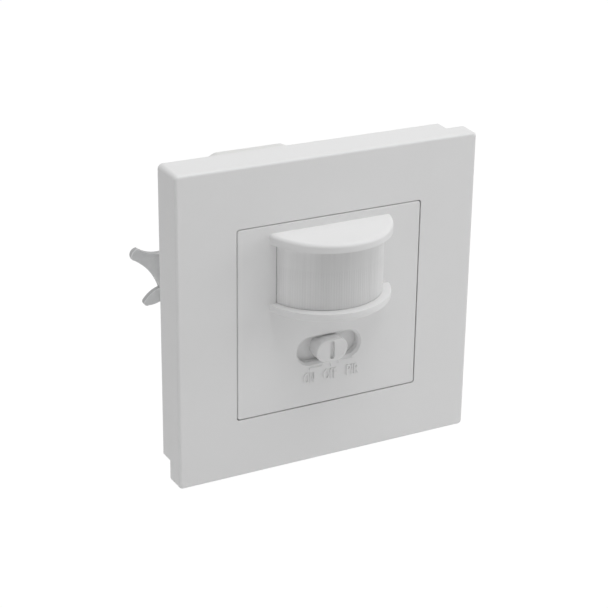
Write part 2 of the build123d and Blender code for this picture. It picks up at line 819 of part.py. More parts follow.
with BuildPart() as fuse:
    with BuildSketch(Plane.YZ.offset(fuse_x - fuse_length / 2)):
        with Locations((power_board_front_y - fuse_radius, fuse_z)):
            Circle(fuse_radius - fuse_cap_step)
    extrude(amount=fuse_length)
    for end_x in (fuse_x - fuse_length / 2, fuse_x + fuse_length / 2 - fuse_cap_length):
        with BuildSketch(Plane.YZ.offset(end_x)):
            with Locations((power_board_front_y - fuse_radius, fuse_z)):
                Circle(fuse_radius)
        extrude(amount=fuse_cap_length)
finish(fuse, "fuse")

with BuildPart() as rectifier_diodes:
    for row in (-1, 1):
        low_z = diode_z + row * diode_spacing_z / 2 - diode_length / 2
        with BuildSketch(Plane.XY.offset(low_z)):
            with Locations((diode_x, power_board_front_y - diode_radius)):
                with GridLocations(diode_spacing_x, 0, 2, 1):
                    Circle(diode_radius)
        extrude(amount=diode_length)
finish(rectifier_diodes, "rectifier_diodes")

with BuildPart() as dropper_resistors:
    for side in (-1, 1):
        with BuildSketch(Plane.YZ.offset(side * resistor_x - resistor_length / 2)):
            with Locations((power_board_front_y - resistor_radius, resistor_z)):
                Circle(resistor_radius)
        extrude(amount=resistor_length)
finish(dropper_resistors, "dropper_resistors")

# Suppression coil: a winding between two flanges
coil_place_share = (-0.3661, -0.678)
coil_flange_radius = 3.5
coil_winding_radius = 3.0
coil_flange_height = 1.0
coil_height = 8.0
coil_x = coil_place_share[0] * housing_radius
coil_z = coil_place_share[1] * housing_radius

with BuildPart() as suppression_coil:
    with BuildSketch(facing(power_board_front_y)):
        with Locations((coil_x, coil_z)):
            Circle(coil_winding_radius)
    extrude(amount=coil_height)
    for flange_y in (
        power_board_front_y,
        power_board_front_y - coil_height + coil_flange_height,
    ):
        with BuildSketch(facing(flange_y)):
            with Locations((coil_x, coil_z)):
                Circle(coil_flange_radius)
        extrude(amount=coil_flange_height)
finish(suppression_coil, "suppression_coil")

# Terminal block: one plastic block behind the power board, with a pocket
# for each cage, a wire channel and a slot for each bar
block_width = 23.0
block_roof = 1.2
pocket_gap = 0.3
block_high_z = cage_top_z + block_roof + pocket_gap
pocket_low_z = cage_low_z - cage_travel - pocket_gap
pocket_height = cage_top_z + pocket_gap - pocket_low_z
block_height = block_high_z - block_low_z
block_middle_z = (block_high_z + block_low_z) / 2

with BuildSketch() as block_room:
    add(housing_outline)
    offset(amount=-(housing_wall + slip_gap), kind=Kind.INTERSECTION)
block_limit = block_room.sketch

with BuildPart() as terminal_block:
    with BuildSketch(facing(block_back_y)):
        with Locations((0, block_middle_z)):
            Rectangle(block_width, block_height)
        add(block_limit, mode=Mode.INTERSECT)
    extrude(amount=block_back_y - block_front_y)
    with BuildSketch(Plane.XY.offset(pocket_low_z)):
        with Locations((0, terminal_y)):
            with GridLocations(terminal_pitch, 0, terminal_count, 1):
                Rectangle(cage_width + 2 * pocket_gap, cage_length + 2 * pocket_gap)
    extrude(amount=pocket_height, mode=Mode.SUBTRACT)
    with BuildSketch(facing(block_back_y + cut_over)):
        with Locations((0, wire_z)):
            with GridLocations(terminal_pitch, 0, terminal_count, 1):
                Circle(wire_hole_radius)
    extrude(amount=block_back_y + cut_over - terminal_y, mode=Mode.SUBTRACT)
    with BuildSketch(facing(bar_end_y)):
        with Locations((0, bar_top_z - bar_thickness / 2)):
            with GridLocations(terminal_pitch, 0, terminal_count, 1):
                Rectangle(bar_width, bar_thickness)
    extrude(amount=bar_end_y - block_front_y + cut_over, mode=Mode.SUBTRACT)
    with BuildSketch(Plane.XY.offset(block_low_z - cut_over)):
        with Locations((0, terminal_y)):
            with GridLocations(terminal_pitch, 0, terminal_count, 1):
                Circle(terminal_shank_radius + shaft_gap)
    extrude(amount=pocket_low_z - block_low_z + 2 * cut_over, mode=Mode.SUBTRACT)
finish(terminal_block, "terminal_block")

with BuildPart() as terminal_bars:
    with BuildSketch(facing(bar_end_y)):
        with Locations((0, bar_top_z - bar_thickness / 2)):
            with GridLocations(terminal_pitch, 0, terminal_count, 1):
                Rectangle(bar_width, bar_thickness)
    extrude(amount=bar_end_y - power_board_back_y)
finish(terminal_bars, "terminal_bars")

# Terminal screws and cages, one of each for every terminal
terminal_slot_width = 0.7
terminal_slot_depth = 0.8
terminal_shank_top_z = bar_low_z - shaft_gap
terminal_shank_length = terminal_shank_top_z - terminal_head_z

for number, terminal_x in enumerate(terminal_xs, start=1):
    with BuildPart() as terminal_screw:
        with BuildSketch(Plane.XY.offset(terminal_head_z)):
            with Locations((terminal_x, terminal_y)):
                Circle(terminal_shank_radius)
        extrude(amount=terminal_shank_length)
        with BuildSketch(Plane.XY.offset(terminal_head_z)):
            with Locations((terminal_x, terminal_y)):
                Circle(terminal_head_radius)
        extrude(amount=-terminal_head_height)
        with BuildSketch(Plane.XY.offset(terminal_head_z - terminal_head_height)):
            with Locations((terminal_x, terminal_y)):
                Rectangle(2 * terminal_head_radius, terminal_slot_width)
        extrude(amount=terminal_slot_depth, mode=Mode.SUBTRACT)
    finish(terminal_screw, "terminal_screw_" + str(number))

    with BuildPart() as terminal_cage:
        with BuildSketch(facing(terminal_y + cage_length / 2)):
            with Locations((terminal_x, cage_top_z - cage_height / 2)):
                Rectangle(cage_width, cage_height)
                Rectangle(
                    cage_width - 2 * cage_wall, cage_height - 2 * cage_wall, mode=Mode.SUBTRACT
                )
        extrude(amount=cage_length)
        with BuildSketch(Plane.XY.offset(cage_low_z - cut_over)):
            with Locations((terminal_x, terminal_y)):
                Circle(terminal_shank_radius + shaft_gap)
        extrude(amount=cage_wall + 2 * cut_over, mode=Mode.SUBTRACT)
    finish(terminal_cage, "terminal_cage_" + str(number))

# Claws: a forked steel sheet with a threaded collar, one long prong and one
# short one, and the long screw that draws it to the wall. Both claws are the
# same stamping, so the right one is the left one turned half round.
claw_sheet = 1.6
claw_inset = 7.9
claw_screw_tail = 2.9
claw_root = (-2.0, 5.2)
long_shoulder = (2.2, 6.3)
long_neck = (6.3, 6.8)
long_tip_outer = (8.9, 8.3)
long_tip = (10.5, 7.2)
long_tip_inner = (10.4, 5.5)
notch_flank = (6.5, 2.4)
notch_bottom = (3.1, -3.5)
notch_corner = (5.1, -4.4)
short_tip_inner = (7.1, -6.2)
short_tip = (7.4, -7.4)
short_tip_outer = (6.2, -7.9)
short_neck = (4.2, -7.7)
short_shoulder = (2.2, -7.0)
collar_radius = 2.5
collar_length = 2.5
claw_slot_width = 0.9
claw_slot_depth = 0.9
claw_back_y = housing_depth - claw_inset
claw_front_y = claw_back_y - claw_sheet
claw_shank_end_y = claw_back_y + claw_screw_tail
claw_head_back_y = yoke_front_y - slip_gap
claw_head_front_y = claw_head_back_y - claw_head_height



def claw_outline(side):
    """The forked outline of one claw around its screw."""

    def placed(*points):
        return [(side * out, -side * up) for out, up in points]

    root_low = (claw_root[0], -claw_root[1])
    with BuildSketch() as outline:
        with BuildLine():
            Line(*placed(root_low, claw_root))
            Line(*placed(claw_root, long_shoulder))
            ThreePointArc(*placed(long_shoulder, long_neck, long_tip_outer))
            ThreePointArc(*placed(long_tip_outer, long_tip, long_tip_inner))
            ThreePointArc(*placed(long_tip_inner, notch_flank, notch_bottom))
            ThreePointArc(*placed(notch_bottom, notch_corner, short_tip_inner))
            ThreePointArc(*placed(short_tip_inner, short_tip, short_tip_outer))
            ThreePointArc(*placed(short_tip_outer, short_neck, short_shoulder))
            Line(*placed(short_shoulder, root_low))
        make_face()
    return outline.sketch.moved(Location((side * claw_screw_x, 0, 0)))


for name, side in (("left", -1), ("right", 1)):
    with BuildPart() as claw:
        with BuildSketch(facing(claw_back_y)):
            add(claw_outline(side))
        extrude(amount=claw_sheet)
        with BuildSketch(facing(claw_front_y)):
            with Locations((side * claw_screw_x, 0)):
                Circle(collar_radius)
        extrude(amount=collar_length)
        with BuildSketch(facing(claw_back_y + cut_over)):
            with Locations((side * claw_screw_x, 0)):
                Circle(claw_shank_radius + shaft_gap)
        extrude(amount=claw_sheet + collar_length + 2 * cut_over, mode=Mode.SUBTRACT)
    finish(claw, "claw_" + name)

    with BuildPart() as claw_screw:
        with BuildSketch(facing(claw_shank_end_y)):
            with Locations((side * claw_screw_x, 0)):
                Circle(claw_shank_radius)
        extrude(amount=claw_shank_end_y - claw_head_back_y)
        with BuildSketch(facing(claw_head_back_y)):
            with Locations((side * claw_screw_x, 0)):
                Circle(claw_head_radius)
        extrude(amount=claw_head_height)
        with BuildSketch(facing(claw_head_front_y + claw_slot_depth)):
            with Locations((side * claw_screw_x, 0)):
                Rectangle(2 * claw_head_radius, claw_slot_width)
        extrude(amount=claw_slot_depth + cut_over, mode=Mode.SUBTRACT)
    finish(claw_screw, "claw_screw_" + name)
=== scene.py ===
# %% [markdown]
# A flush wall switch with a motion sensor, dressed in Blender.
# The construction comes ready made: every piece is already in the scene at its
# real size, in metres, with the wall at y = 0 and the room towards -Y.
# This lesson gives each piece its finish, rounds the edges of the moulded and
# stamped ones, and models again the few whose close-up form matters: the
# ribbed lens, the raised marks under the knob, and the steel claws with the
# long screws that draw them.

# %% Load the model
import json
import math

import bmesh
import bpy
from mathutils import Matrix, Vector


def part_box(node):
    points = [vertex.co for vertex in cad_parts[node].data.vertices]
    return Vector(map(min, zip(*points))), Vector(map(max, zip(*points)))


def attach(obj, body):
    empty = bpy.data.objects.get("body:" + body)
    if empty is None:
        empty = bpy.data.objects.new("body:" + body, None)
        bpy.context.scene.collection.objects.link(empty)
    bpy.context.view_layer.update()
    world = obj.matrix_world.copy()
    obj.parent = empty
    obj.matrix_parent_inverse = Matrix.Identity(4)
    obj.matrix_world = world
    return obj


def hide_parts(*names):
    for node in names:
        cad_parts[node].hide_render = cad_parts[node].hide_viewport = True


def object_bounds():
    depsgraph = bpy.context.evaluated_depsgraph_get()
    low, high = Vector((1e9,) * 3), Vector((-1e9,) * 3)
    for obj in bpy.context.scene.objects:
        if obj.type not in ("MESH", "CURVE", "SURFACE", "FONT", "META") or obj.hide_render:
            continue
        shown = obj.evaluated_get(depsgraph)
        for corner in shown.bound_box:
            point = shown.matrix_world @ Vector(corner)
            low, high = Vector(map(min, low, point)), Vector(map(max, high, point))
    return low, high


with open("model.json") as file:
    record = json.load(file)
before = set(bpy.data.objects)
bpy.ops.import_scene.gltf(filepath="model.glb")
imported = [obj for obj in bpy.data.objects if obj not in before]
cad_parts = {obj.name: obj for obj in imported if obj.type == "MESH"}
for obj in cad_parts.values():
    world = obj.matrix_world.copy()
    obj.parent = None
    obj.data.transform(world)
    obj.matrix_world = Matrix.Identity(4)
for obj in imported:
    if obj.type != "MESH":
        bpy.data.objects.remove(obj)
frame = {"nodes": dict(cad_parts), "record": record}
cad_low, cad_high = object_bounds()
nodes = frame["nodes"]
MM = 0.001

print("nodes:", len(nodes))
print("box in mm:", [round(v / MM, 1) for v in cad_high - cad_low])

# %% [markdown]
# The camera stands where the photographer stood: to the left of the switch,
# above it, and looking down at the wall. Its place is given in millimetres
# from the middle of the wall face. The photograph was framed with the object
# off the lens axis, so the lens is shifted by a few percent of the frame.

# %% Camera
CAMERA_PLACE = Vector((-181.8, -348.7, 168.8)) * MM
CAMERA_YAW = math.radians(28.78)
CAMERA_PITCH = math.radians(21.93)
CAMERA_ROLL = math.radians(1.36)
CAMERA_LENS = 100.5
CAMERA_SENSOR = 36
CAMERA_SHIFT = (-0.0704, -0.0749)
NEAREST_SEEN = 10

forward = Vector((
    math.sin(CAMERA_YAW) * math.cos(CAMERA_PITCH),
    math.cos(CAMERA_YAW) * math.cos(CAMERA_PITCH),
    -math.sin(CAMERA_PITCH),
))
level_right = Vector((math.cos(CAMERA_YAW), -math.sin(CAMERA_YAW), 0))
level_up = level_right.cross(forward)
camera_right = level_right * math.cos(CAMERA_ROLL) + level_up * math.sin(CAMERA_ROLL)
camera_up = level_up * math.cos(CAMERA_ROLL) - level_right * math.sin(CAMERA_ROLL)

camera_data = bpy.data.cameras.new("camera")
camera_data.lens = CAMERA_LENS
camera_data.sensor_width = CAMERA_SENSOR
camera_data.shift_x, camera_data.shift_y = CAMERA_SHIFT
camera_data.clip_start = NEAREST_SEEN * MM
camera = bpy.data.objects.new("camera", camera_data)
turn = Matrix((camera_right, camera_up, -forward)).transposed().to_4x4()
camera.matrix_world = Matrix.Translation(CAMERA_PLACE) @ turn
bpy.context.scene.collection.objects.link(camera)
bpy.context.scene.camera = camera
print("camera distance in mm:", round(CAMERA_PLACE.length / MM))

# %% [markdown]
# A white object on a white ground reads only by its shading, so the light is
# soft and comes from three sides: a wide panel overhead makes the top faces
# the brightest, and a panel on either side lights the flanks and the two ends
# of the lens more than its middle. A pale sky fills the rest. Each lamp is a
# place, a target and a size in mm, and a power in watts. The powers stay low
# enough that no white face clips.

# %% Lamps
LAMPS = {
    "overhead_panel": ((60, -120, 620), (0, -10, 0), (420, 420), 2.05),
    "right_panel": ((560, -260, 200), (0, 0, 0), (300, 300), 0.9),
    "left_panel": ((-560, -120, 160), (0, 0, 0), (300, 300), 0.16),
}


def add_lamp(name, place, target, size, power):
    """A rectangular soft lamp at a place in mm that shines at a target."""
    data = bpy.data.lights.new(name, "AREA")
    data.shape = "RECTANGLE"
    data.size = size[0] * MM
    data.size_y = size[1] * MM
    data.energy = power
    lamp = bpy.data.objects.new(name, data)
    lamp.location = Vector(place) * MM
    aim = (Vector(target) - Vector(place)).to_track_quat("-Z", "Y")
    lamp.rotation_euler = aim.to_euler()
    bpy.context.scene.collection.objects.link(lamp)
    return lamp


for lamp_name, (place, target, size, power) in LAMPS.items():
    add_lamp(lamp_name, place, target, size, power)
print("lamps:", sorted(LAMPS))

# %% [markdown]
# The sky is white where the camera sees it, directly, in a shiny surface or
# through a clear one, and dimmer where it lights the object. Light Path tells
# the two apart, so a white background costs the object none of its shading.

# %% Sky
SKY_LIGHT = 0.37


def seen_share(tree):
    """A socket that is 1 on rays that carry a picture, and 0 on rays of light."""
    path = tree.nodes.new("ShaderNodeLightPath")
    share = path.outputs["Is Camera Ray"]
    for kind in ("Is Glossy Ray", "Is Transmission Ray"):
        either = tree.nodes.new("ShaderNodeMath")
        either.operation = "MAXIMUM"
        tree.links.new(share, either.inputs[0])
        tree.links.new(path.outputs[kind], either.inputs[1])
        share = either.outputs[0]
    return share


world = bpy.data.worlds.new("studio")
bpy.context.scene.world = world
world.use_nodes = True
sky_tree = world.node_tree
sky_tree.nodes.clear()
strength = sky_tree.nodes.new("ShaderNodeMapRange")
strength.inputs["To Min"].default_value = SKY_LIGHT
strength.inputs["To Max"].default_value = 1.0
sky = sky_tree.nodes.new("ShaderNodeBackground")
sky.inputs["Color"].default_value = (1, 1, 1, 1)
sky_out = sky_tree.nodes.new("ShaderNodeOutputWorld")
sky_tree.links.new(seen_share(sky_tree), strength.inputs["Value"])
sky_tree.links.new(strength.outputs["Result"], sky.inputs["Strength"])
sky_tree.links.new(sky.outputs[0], sky_out.inputs[0])
bpy.context.scene.view_settings.view_transform = "Standard"
print("share of the sky that lights:", SKY_LIGHT)

# %% [markdown]
# The floor is a plain pale plane a little below the frame. It bounces light up
# to the object as a sheet of paper would. For the camera it glows nearly as
# white as the sky, so only a faint trace of the shadow is left on it.

# %% Floor
FLOOR_SIZE = 8
FLOOR_DROP = 24
FLOOR_WHITE = 0.86
FLOOR_GLOW = 1.04
GLOW_SHARE = 0.95


def finish_floor(material):
    """A matt floor that looks white, with a faint shadow."""
    tree = material.node_tree
    tree.nodes.clear()
    share = tree.nodes.new("ShaderNodeMath")
    share.operation = "MULTIPLY"
    share.inputs[1].default_value = GLOW_SHARE
    matt = tree.nodes.new("ShaderNodeBsdfDiffuse")
    matt.inputs["Color"].default_value = (FLOOR_WHITE, FLOOR_WHITE, FLOOR_WHITE, 1)
    glow = tree.nodes.new("ShaderNodeEmission")
    glow.inputs["Strength"].default_value = FLOOR_GLOW
    blend = tree.nodes.new("ShaderNodeMixShader")
    out = tree.nodes.new("ShaderNodeOutputMaterial")
    tree.links.new(seen_share(tree), share.inputs[0])
    tree.links.new(share.outputs[0], blend.inputs[0])
    tree.links.new(matt.outputs[0], blend.inputs[1])
    tree.links.new(glow.outputs[0], blend.inputs[2])
    tree.links.new(blend.outputs[0], out.inputs[0])


bpy.ops.object.select_all(action="DESELECT")
floor_z = cad_low.z - FLOOR_DROP * MM
bpy.ops.mesh.primitive_plane_add(size=FLOOR_SIZE, location=(0, 0, floor_z))
floor = bpy.context.object
floor.name = "floor"
floor_material = bpy.data.materials.new("floor_white")
floor_material.use_nodes = True
finish_floor(floor_material)
floor.data.materials.append(floor_material)
print("floor at mm:", round(floor_z / MM, 1))

# %% [markdown]
# Three surface effects serve nearly all the finishes. Each is a shader node
# group that reads Object coordinates, so it stays put on its piece:
# - moulded grain: the fine even texture of a spark-eroded mould, with a slow
#   drift in tone and gloss;
# - drawn metal: fine scratches along one axis, with duller patches, and darker
#   wall_shade_mask: partly sheared steel, partly painted shade on faces turned away from
#   the flat of a sheet;
# - speckle: a tight pattern of two tones, for boards and dipped parts.
# A group is made once and takes its colours and scales from each material, so
# a better grain improves every plastic at once.

# %% Node group helpers
SURFACE_OUTPUTS = (
    ("Colour", "NodeSocketColor"),
    ("Roughness", "NodeSocketFloat"),
    ("Normal", "NodeSocketVector"),
)


def new_group(name, inputs):
    """A node group with named inputs and the three outputs of a surface."""
    group = bpy.data.node_groups.new(name, "ShaderNodeTree")
    for label, kind, value in inputs:
        socket = group.interface.new_socket(name=label, in_out="INPUT", socket_type=kind)
        socket.default_value = value
    for label, kind in SURFACE_OUTPUTS:
        group.interface.new_socket(name=label, in_out="OUTPUT", socket_type=kind)
    start = group.nodes.new("NodeGroupInput")
    end = group.nodes.new("NodeGroupOutput")
    return group, start.outputs, end.inputs


def feed(group, socket, value):
    """Gives an input a number, or a link from another socket."""
    if isinstance(value, (int, float)):
        socket.default_value = value
    else:
        group.links.new(value, socket)


def object_place(group):
    return group.nodes.new("ShaderNodeTexCoord").outputs["Object"]


def math_node(group, operation, first, second):
    node = group.nodes.new("ShaderNodeMath")
    node.operation = operation
    feed(group, node.inputs[0], first)
    feed(group, node.inputs[1], second)
    return node.outputs[0]


def noise_node(group, vector, scale, detail):
    node = group.nodes.new("ShaderNodeTexNoise")
    node.inputs["Detail"].default_value = detail
    feed(group, node.inputs["Scale"], scale)
    group.links.new(vector, node.inputs["Vector"])
    return node.outputs["Fac"]


def remap(group, value, low, high):
    """Spreads a 0 to 1 value over low to high."""
    node = group.nodes.new("ShaderNodeMapRange")
    group.links.new(value, node.inputs["Value"])
    feed(group, node.inputs["To Min"], low)
    feed(group, node.inputs["To Max"], high)
    return node.outputs["Result"]


def shade(group, colour, factor):
    """A colour multiplied by a factor."""
    node = group.nodes.new("ShaderNodeVectorMath")
    node.operation = "SCALE"
    group.links.new(colour, node.inputs[0])
    group.links.new(factor, node.inputs["Scale"])
    return node.outputs["Vector"]


def bump(group, height, depth):
    """A normal from a height, with its depth in metres."""
    node = group.nodes.new("ShaderNodeBump")
    group.links.new(height, node.inputs["Height"])
    feed(group, node.inputs["Distance"], depth)
    return node.outputs["Normal"]


def drifting_gloss(group, given, value):
    """The group's gloss, moved both ways by its drift with a 0 to 1 value."""
    duller = math_node(group, "ADD", given["Gloss"], given["Gloss drift"])
    shinier = math_node(group, "SUBTRACT", given["Gloss"], given["Gloss drift"])
    return remap(group, value, shinier, duller)


print("outputs of a surface:", [label for label, kind in SURFACE_OUTPUTS])


# %% Moulded grain
DRIFT_SCALE = 55.0
DRIFT_DETAIL = 3.0
GRAIN_DETAIL = 2.0
GRAIN_IN_GLOSS = 0.25


def make_moulded_grain():
    group, given, result = new_group("moulded_grain", [
        ("Colour", "NodeSocketColor", (0.8, 0.8, 0.8, 1)),
        ("Tone", "NodeSocketFloat", 0.02),
        ("Gloss", "NodeSocketFloat", 0.4),
        ("Gloss drift", "NodeSocketFloat", 0.05),
        ("Grain", "NodeSocketFloat", 2500.0),
        ("Depth", "NodeSocketFloat", 0.00001),
    ])
    place = object_place(group)
    slow = noise_node(group, place, DRIFT_SCALE, DRIFT_DETAIL)
    fine = noise_node(group, place, given["Grain"], GRAIN_DETAIL)
    down = math_node(group, "SUBTRACT", 1.0, given["Tone"])
    up = math_node(group, "ADD", 1.0, given["Tone"])
    tone = remap(group, slow, down, up)
    group.links.new(shade(group, given["Colour"], tone), result["Colour"])
    mixed = math_node(group, "ADD", slow, math_node(group, "MULTIPLY", fine, GRAIN_IN_GLOSS))
    group.links.new(drifting_gloss(group, given, mixed), result["Roughness"])
    group.links.new(bump(group, fine, given["Depth"]), result["Normal"])
    return group


moulded_grain = make_moulded_grain()
print("group:", moulded_grain.name)


# %% Drawn metal
PAINTED_WALL_SHADE = "cut_wall_painted_shade"
PATCH_SCALE = 320.0
PATCH_DETAIL = 4.0
SCRATCH_SCALE = 2200.0
SCRATCH_DETAIL = 3.0


def make_drawn_metal():
    group, given, result = new_group("drawn_metal", [
        ("Colour", "NodeSocketColor", (0.6, 0.6, 0.6, 1)),
        ("Patch", "NodeSocketFloat", 0.12),
        ("Gloss", "NodeSocketFloat", 0.3),
        ("Gloss drift", "NodeSocketFloat", 0.1),
        ("Stretch", "NodeSocketVector", (1, 1, 1)),
        ("Depth", "NodeSocketFloat", 0.00001),
        ("Dents", "NodeSocketFloat", 0.0),
        ("Cut shade", "NodeSocketFloat", 0.0),
    ])
    place = object_place(group)
    stretch = group.nodes.new("ShaderNodeVectorMath")
    stretch.operation = "MULTIPLY"
    group.links.new(place, stretch.inputs[0])
    group.links.new(given["Stretch"], stretch.inputs[1])
    patches = noise_node(group, place, PATCH_SCALE, PATCH_DETAIL)
    scratches = noise_node(group, stretch.outputs["Vector"], SCRATCH_SCALE, SCRATCH_DETAIL)
    down = math_node(group, "SUBTRACT", 1.0, given["Patch"])
    # Painted shade, partly real: faces that turn away from the sheet's flat, the collar's
    # barrel too, are darkened, partly as sheared steel and partly for the shade that falls on
    # them.
    wall_shade_mask = group.nodes.new("ShaderNodeAttribute")
    wall_shade_mask.attribute_name = PAINTED_WALL_SHADE
    cut = math_node(group, "MULTIPLY", wall_shade_mask.outputs["Fac"], given["Cut shade"])
    unshaded = math_node(group, "SUBTRACT", 1.0, cut)
    tone = math_node(group, "MULTIPLY", remap(group, patches, down, 1.0), unshaded)
    group.links.new(shade(group, given["Colour"], tone), result["Colour"])
    group.links.new(drifting_gloss(group, given, patches), result["Roughness"])
    height = math_node(
        group, "ADD", math_node(group, "MULTIPLY", scratches, given["Depth"]),
        math_node(group, "MULTIPLY", patches, given["Dents"]))
    group.links.new(bump(group, height, 1.0), result["Normal"])
    return group


drawn_metal = make_drawn_metal()
print("group:", drawn_metal.name)


# %% Speckle
MOTTLE_SCALE = 260.0
MOTTLE_DETAIL = 3.0
MOTTLE_TONES = (0.88, 1.06)
FLECK_ROUGHNESS = 0.2


def make_speckle():
    group, given, result = new_group("speckle", [
        ("Colour", "NodeSocketColor", (0.1, 0.3, 0.2, 1)),
        ("Fleck", "NodeSocketColor", (0.2, 0.4, 0.3, 1)),
        ("Amount", "NodeSocketFloat", 0.5),
        ("Size", "NodeSocketFloat", 900.0),
        ("Gloss", "NodeSocketFloat", 0.35),
        ("Depth", "NodeSocketFloat", 0.00001),
    ])
    place = object_place(group)
    cells = group.nodes.new("ShaderNodeTexVoronoi")
    group.links.new(place, cells.inputs["Vector"])
    group.links.new(given["Size"], cells.inputs["Scale"])
    mask = math_node(group, "MULTIPLY", cells.outputs["Distance"], given["Amount"])
    mix = group.nodes.new("ShaderNodeMix")
    mix.data_type = "RGBA"
    group.links.new(mask, mix.inputs["Factor"])
    colours = {socket.name: socket for socket in mix.inputs if socket.type == "RGBA"}
    group.links.new(given["Colour"], colours["A"])
    group.links.new(given["Fleck"], colours["B"])
    mixed = next(socket for socket in mix.outputs if socket.type == "RGBA")
    mottle = noise_node(group, place, MOTTLE_SCALE, MOTTLE_DETAIL)
    tone = remap(group, mottle, *MOTTLE_TONES)
    group.links.new(shade(group, mixed, tone), result["Colour"])
    rough = math_node(
        group, "ADD", given["Gloss"], math_node(group, "MULTIPLY", mask, FLECK_ROUGHNESS))
    group.links.new(rough, result["Roughness"])
    group.links.new(bump(group, cells.outputs["Distance"], given["Depth"]), result["Normal"])
    return group


speckle = make_speckle()
print("group:", speckle.name)

# %% [markdown]
# A finish is one material: a Principled shader whose colour, roughness and
# normal come from one of the groups above. What is the same all over the
# surface, such as the index of refraction, is set on the shader itself.

# %% Finish helper
finishes = {}


def add_finish(name, group, values, **shader_values):
    """Adds a material with one surface group in front of a Principled shader."""
    material = bpy.data.materials.new(name)
    material.use_nodes = True
    tree = material.node_tree
    shader = tree.nodes["Principled BSDF"]
    surface = tree.nodes.new("ShaderNodeGroup")
    surface.node_tree = group
    for label, value in values.items():
        surface.inputs[label].default_value = value
    tree.links.new(surface.outputs["Colour"], shader.inputs["Base Color"])
    tree.links.new(surface.outputs["Roughness"], shader.inputs["Roughness"])
    tree.links.new(surface.outputs["Normal"], shader.inputs["Normal"])
    for label, value in shader_values.items():
        shader.inputs[label.replace("_", " ")].default_value = value
    finishes[name] = material


def rgb(red, green, blue):
    return (red, green, blue, 1.0)


# %% [markdown]
# Moulded plastics. The cover, the plate and the knob are one white plastic
# with a fine matt grain. The rear housing is a duller, coarser white. The
# parts on the boards have plastics of their own, from black to trimmer blue.

# %% Plastics
add_finish(
    "white_cover", moulded_grain,
    {"Colour": rgb(0.80, 0.80, 0.80), "Tone": 0.012, "Gloss": 0.46, "Gloss drift": 0.04,
     "Grain": 2600.0, "Depth": 0.000012},
    IOR=1.5,
)
add_finish(
    "pale_housing", moulded_grain,
    {"Colour": rgb(0.80, 0.80, 0.79), "Tone": 0.02, "Gloss": 0.52, "Gloss drift": 0.06,
     "Grain": 1700.0, "Depth": 0.00003},
    IOR=1.5,
)
add_finish(
    "black_plastic", moulded_grain,
    {"Colour": rgb(0.02, 0.02, 0.022), "Tone": 0.15, "Gloss": 0.42, "Gloss drift": 0.1,
     "Grain": 2200.0, "Depth": 0.00002},
)
add_finish(
    "white_nylon", moulded_grain,
    {"Colour": rgb(0.74, 0.72, 0.66), "Tone": 0.04, "Gloss": 0.38, "Gloss drift": 0.08,
     "Grain": 1900.0, "Depth": 0.00001},
)
add_finish(
    "trimmer_blue", moulded_grain,
    {"Colour": rgb(0.03, 0.11, 0.38), "Tone": 0.08, "Gloss": 0.4, "Gloss drift": 0.08,
     "Grain": 2400.0, "Depth": 0.00001},
)
add_finish(
    "relay_case", moulded_grain,
    {"Colour": rgb(0.02, 0.035, 0.07), "Tone": 0.1, "Gloss": 0.25, "Gloss drift": 0.08,
     "Grain": 1500.0, "Depth": 0.00001},
)
add_finish(
    "film_cap", moulded_grain,
    {"Colour": rgb(0.62, 0.42, 0.05), "Tone": 0.06, "Gloss": 0.36, "Gloss drift": 0.08,
     "Grain": 1300.0, "Depth": 0.00002},
)
add_finish(
    "capacitor_sleeve", moulded_grain,
    {"Colour": rgb(0.02, 0.025, 0.05), "Tone": 0.1, "Gloss": 0.28, "Gloss drift": 0.06,
     "Grain": 900.0, "Depth": 0.00001},
)
add_finish(
    "terminal_plastic", moulded_grain,
    {"Colour": rgb(0.17, 0.175, 0.18), "Tone": 0.08, "Gloss": 0.45, "Gloss drift": 0.08,
     "Grain": 1700.0, "Depth": 0.00002},
)
print("plastics:", len(finishes))

# %% [markdown]
# Coats and boards: dipped lacquer, glazed ceramic and the green board, each
# with a fine two-tone speckle.

# %% Coats and boards
add_finish(
    "board", speckle,
    {"Colour": rgb(0.02, 0.16, 0.07), "Fleck": rgb(0.06, 0.27, 0.13), "Amount": 0.7,
     "Size": 1300.0, "Gloss": 0.28, "Depth": 0.00001},
)
add_finish(
    "varistor_blue", speckle,
    {"Colour": rgb(0.02, 0.09, 0.32), "Fleck": rgb(0.04, 0.16, 0.46), "Amount": 0.6,
     "Size": 1500.0, "Gloss": 0.3, "Depth": 0.00002},
)
add_finish(
    "fuse_body", speckle,
    {"Colour": rgb(0.72, 0.7, 0.64), "Fleck": rgb(0.6, 0.57, 0.5), "Amount": 0.4,
     "Size": 1800.0, "Gloss": 0.2, "Depth": 0.000005},
)
add_finish(
    "resistor_body", speckle,
    {"Colour": rgb(0.2, 0.34, 0.42), "Fleck": rgb(0.3, 0.45, 0.52), "Amount": 0.5,
     "Size": 1600.0, "Gloss": 0.3, "Depth": 0.00001},
)
print("plastics and coats:", len(finishes))
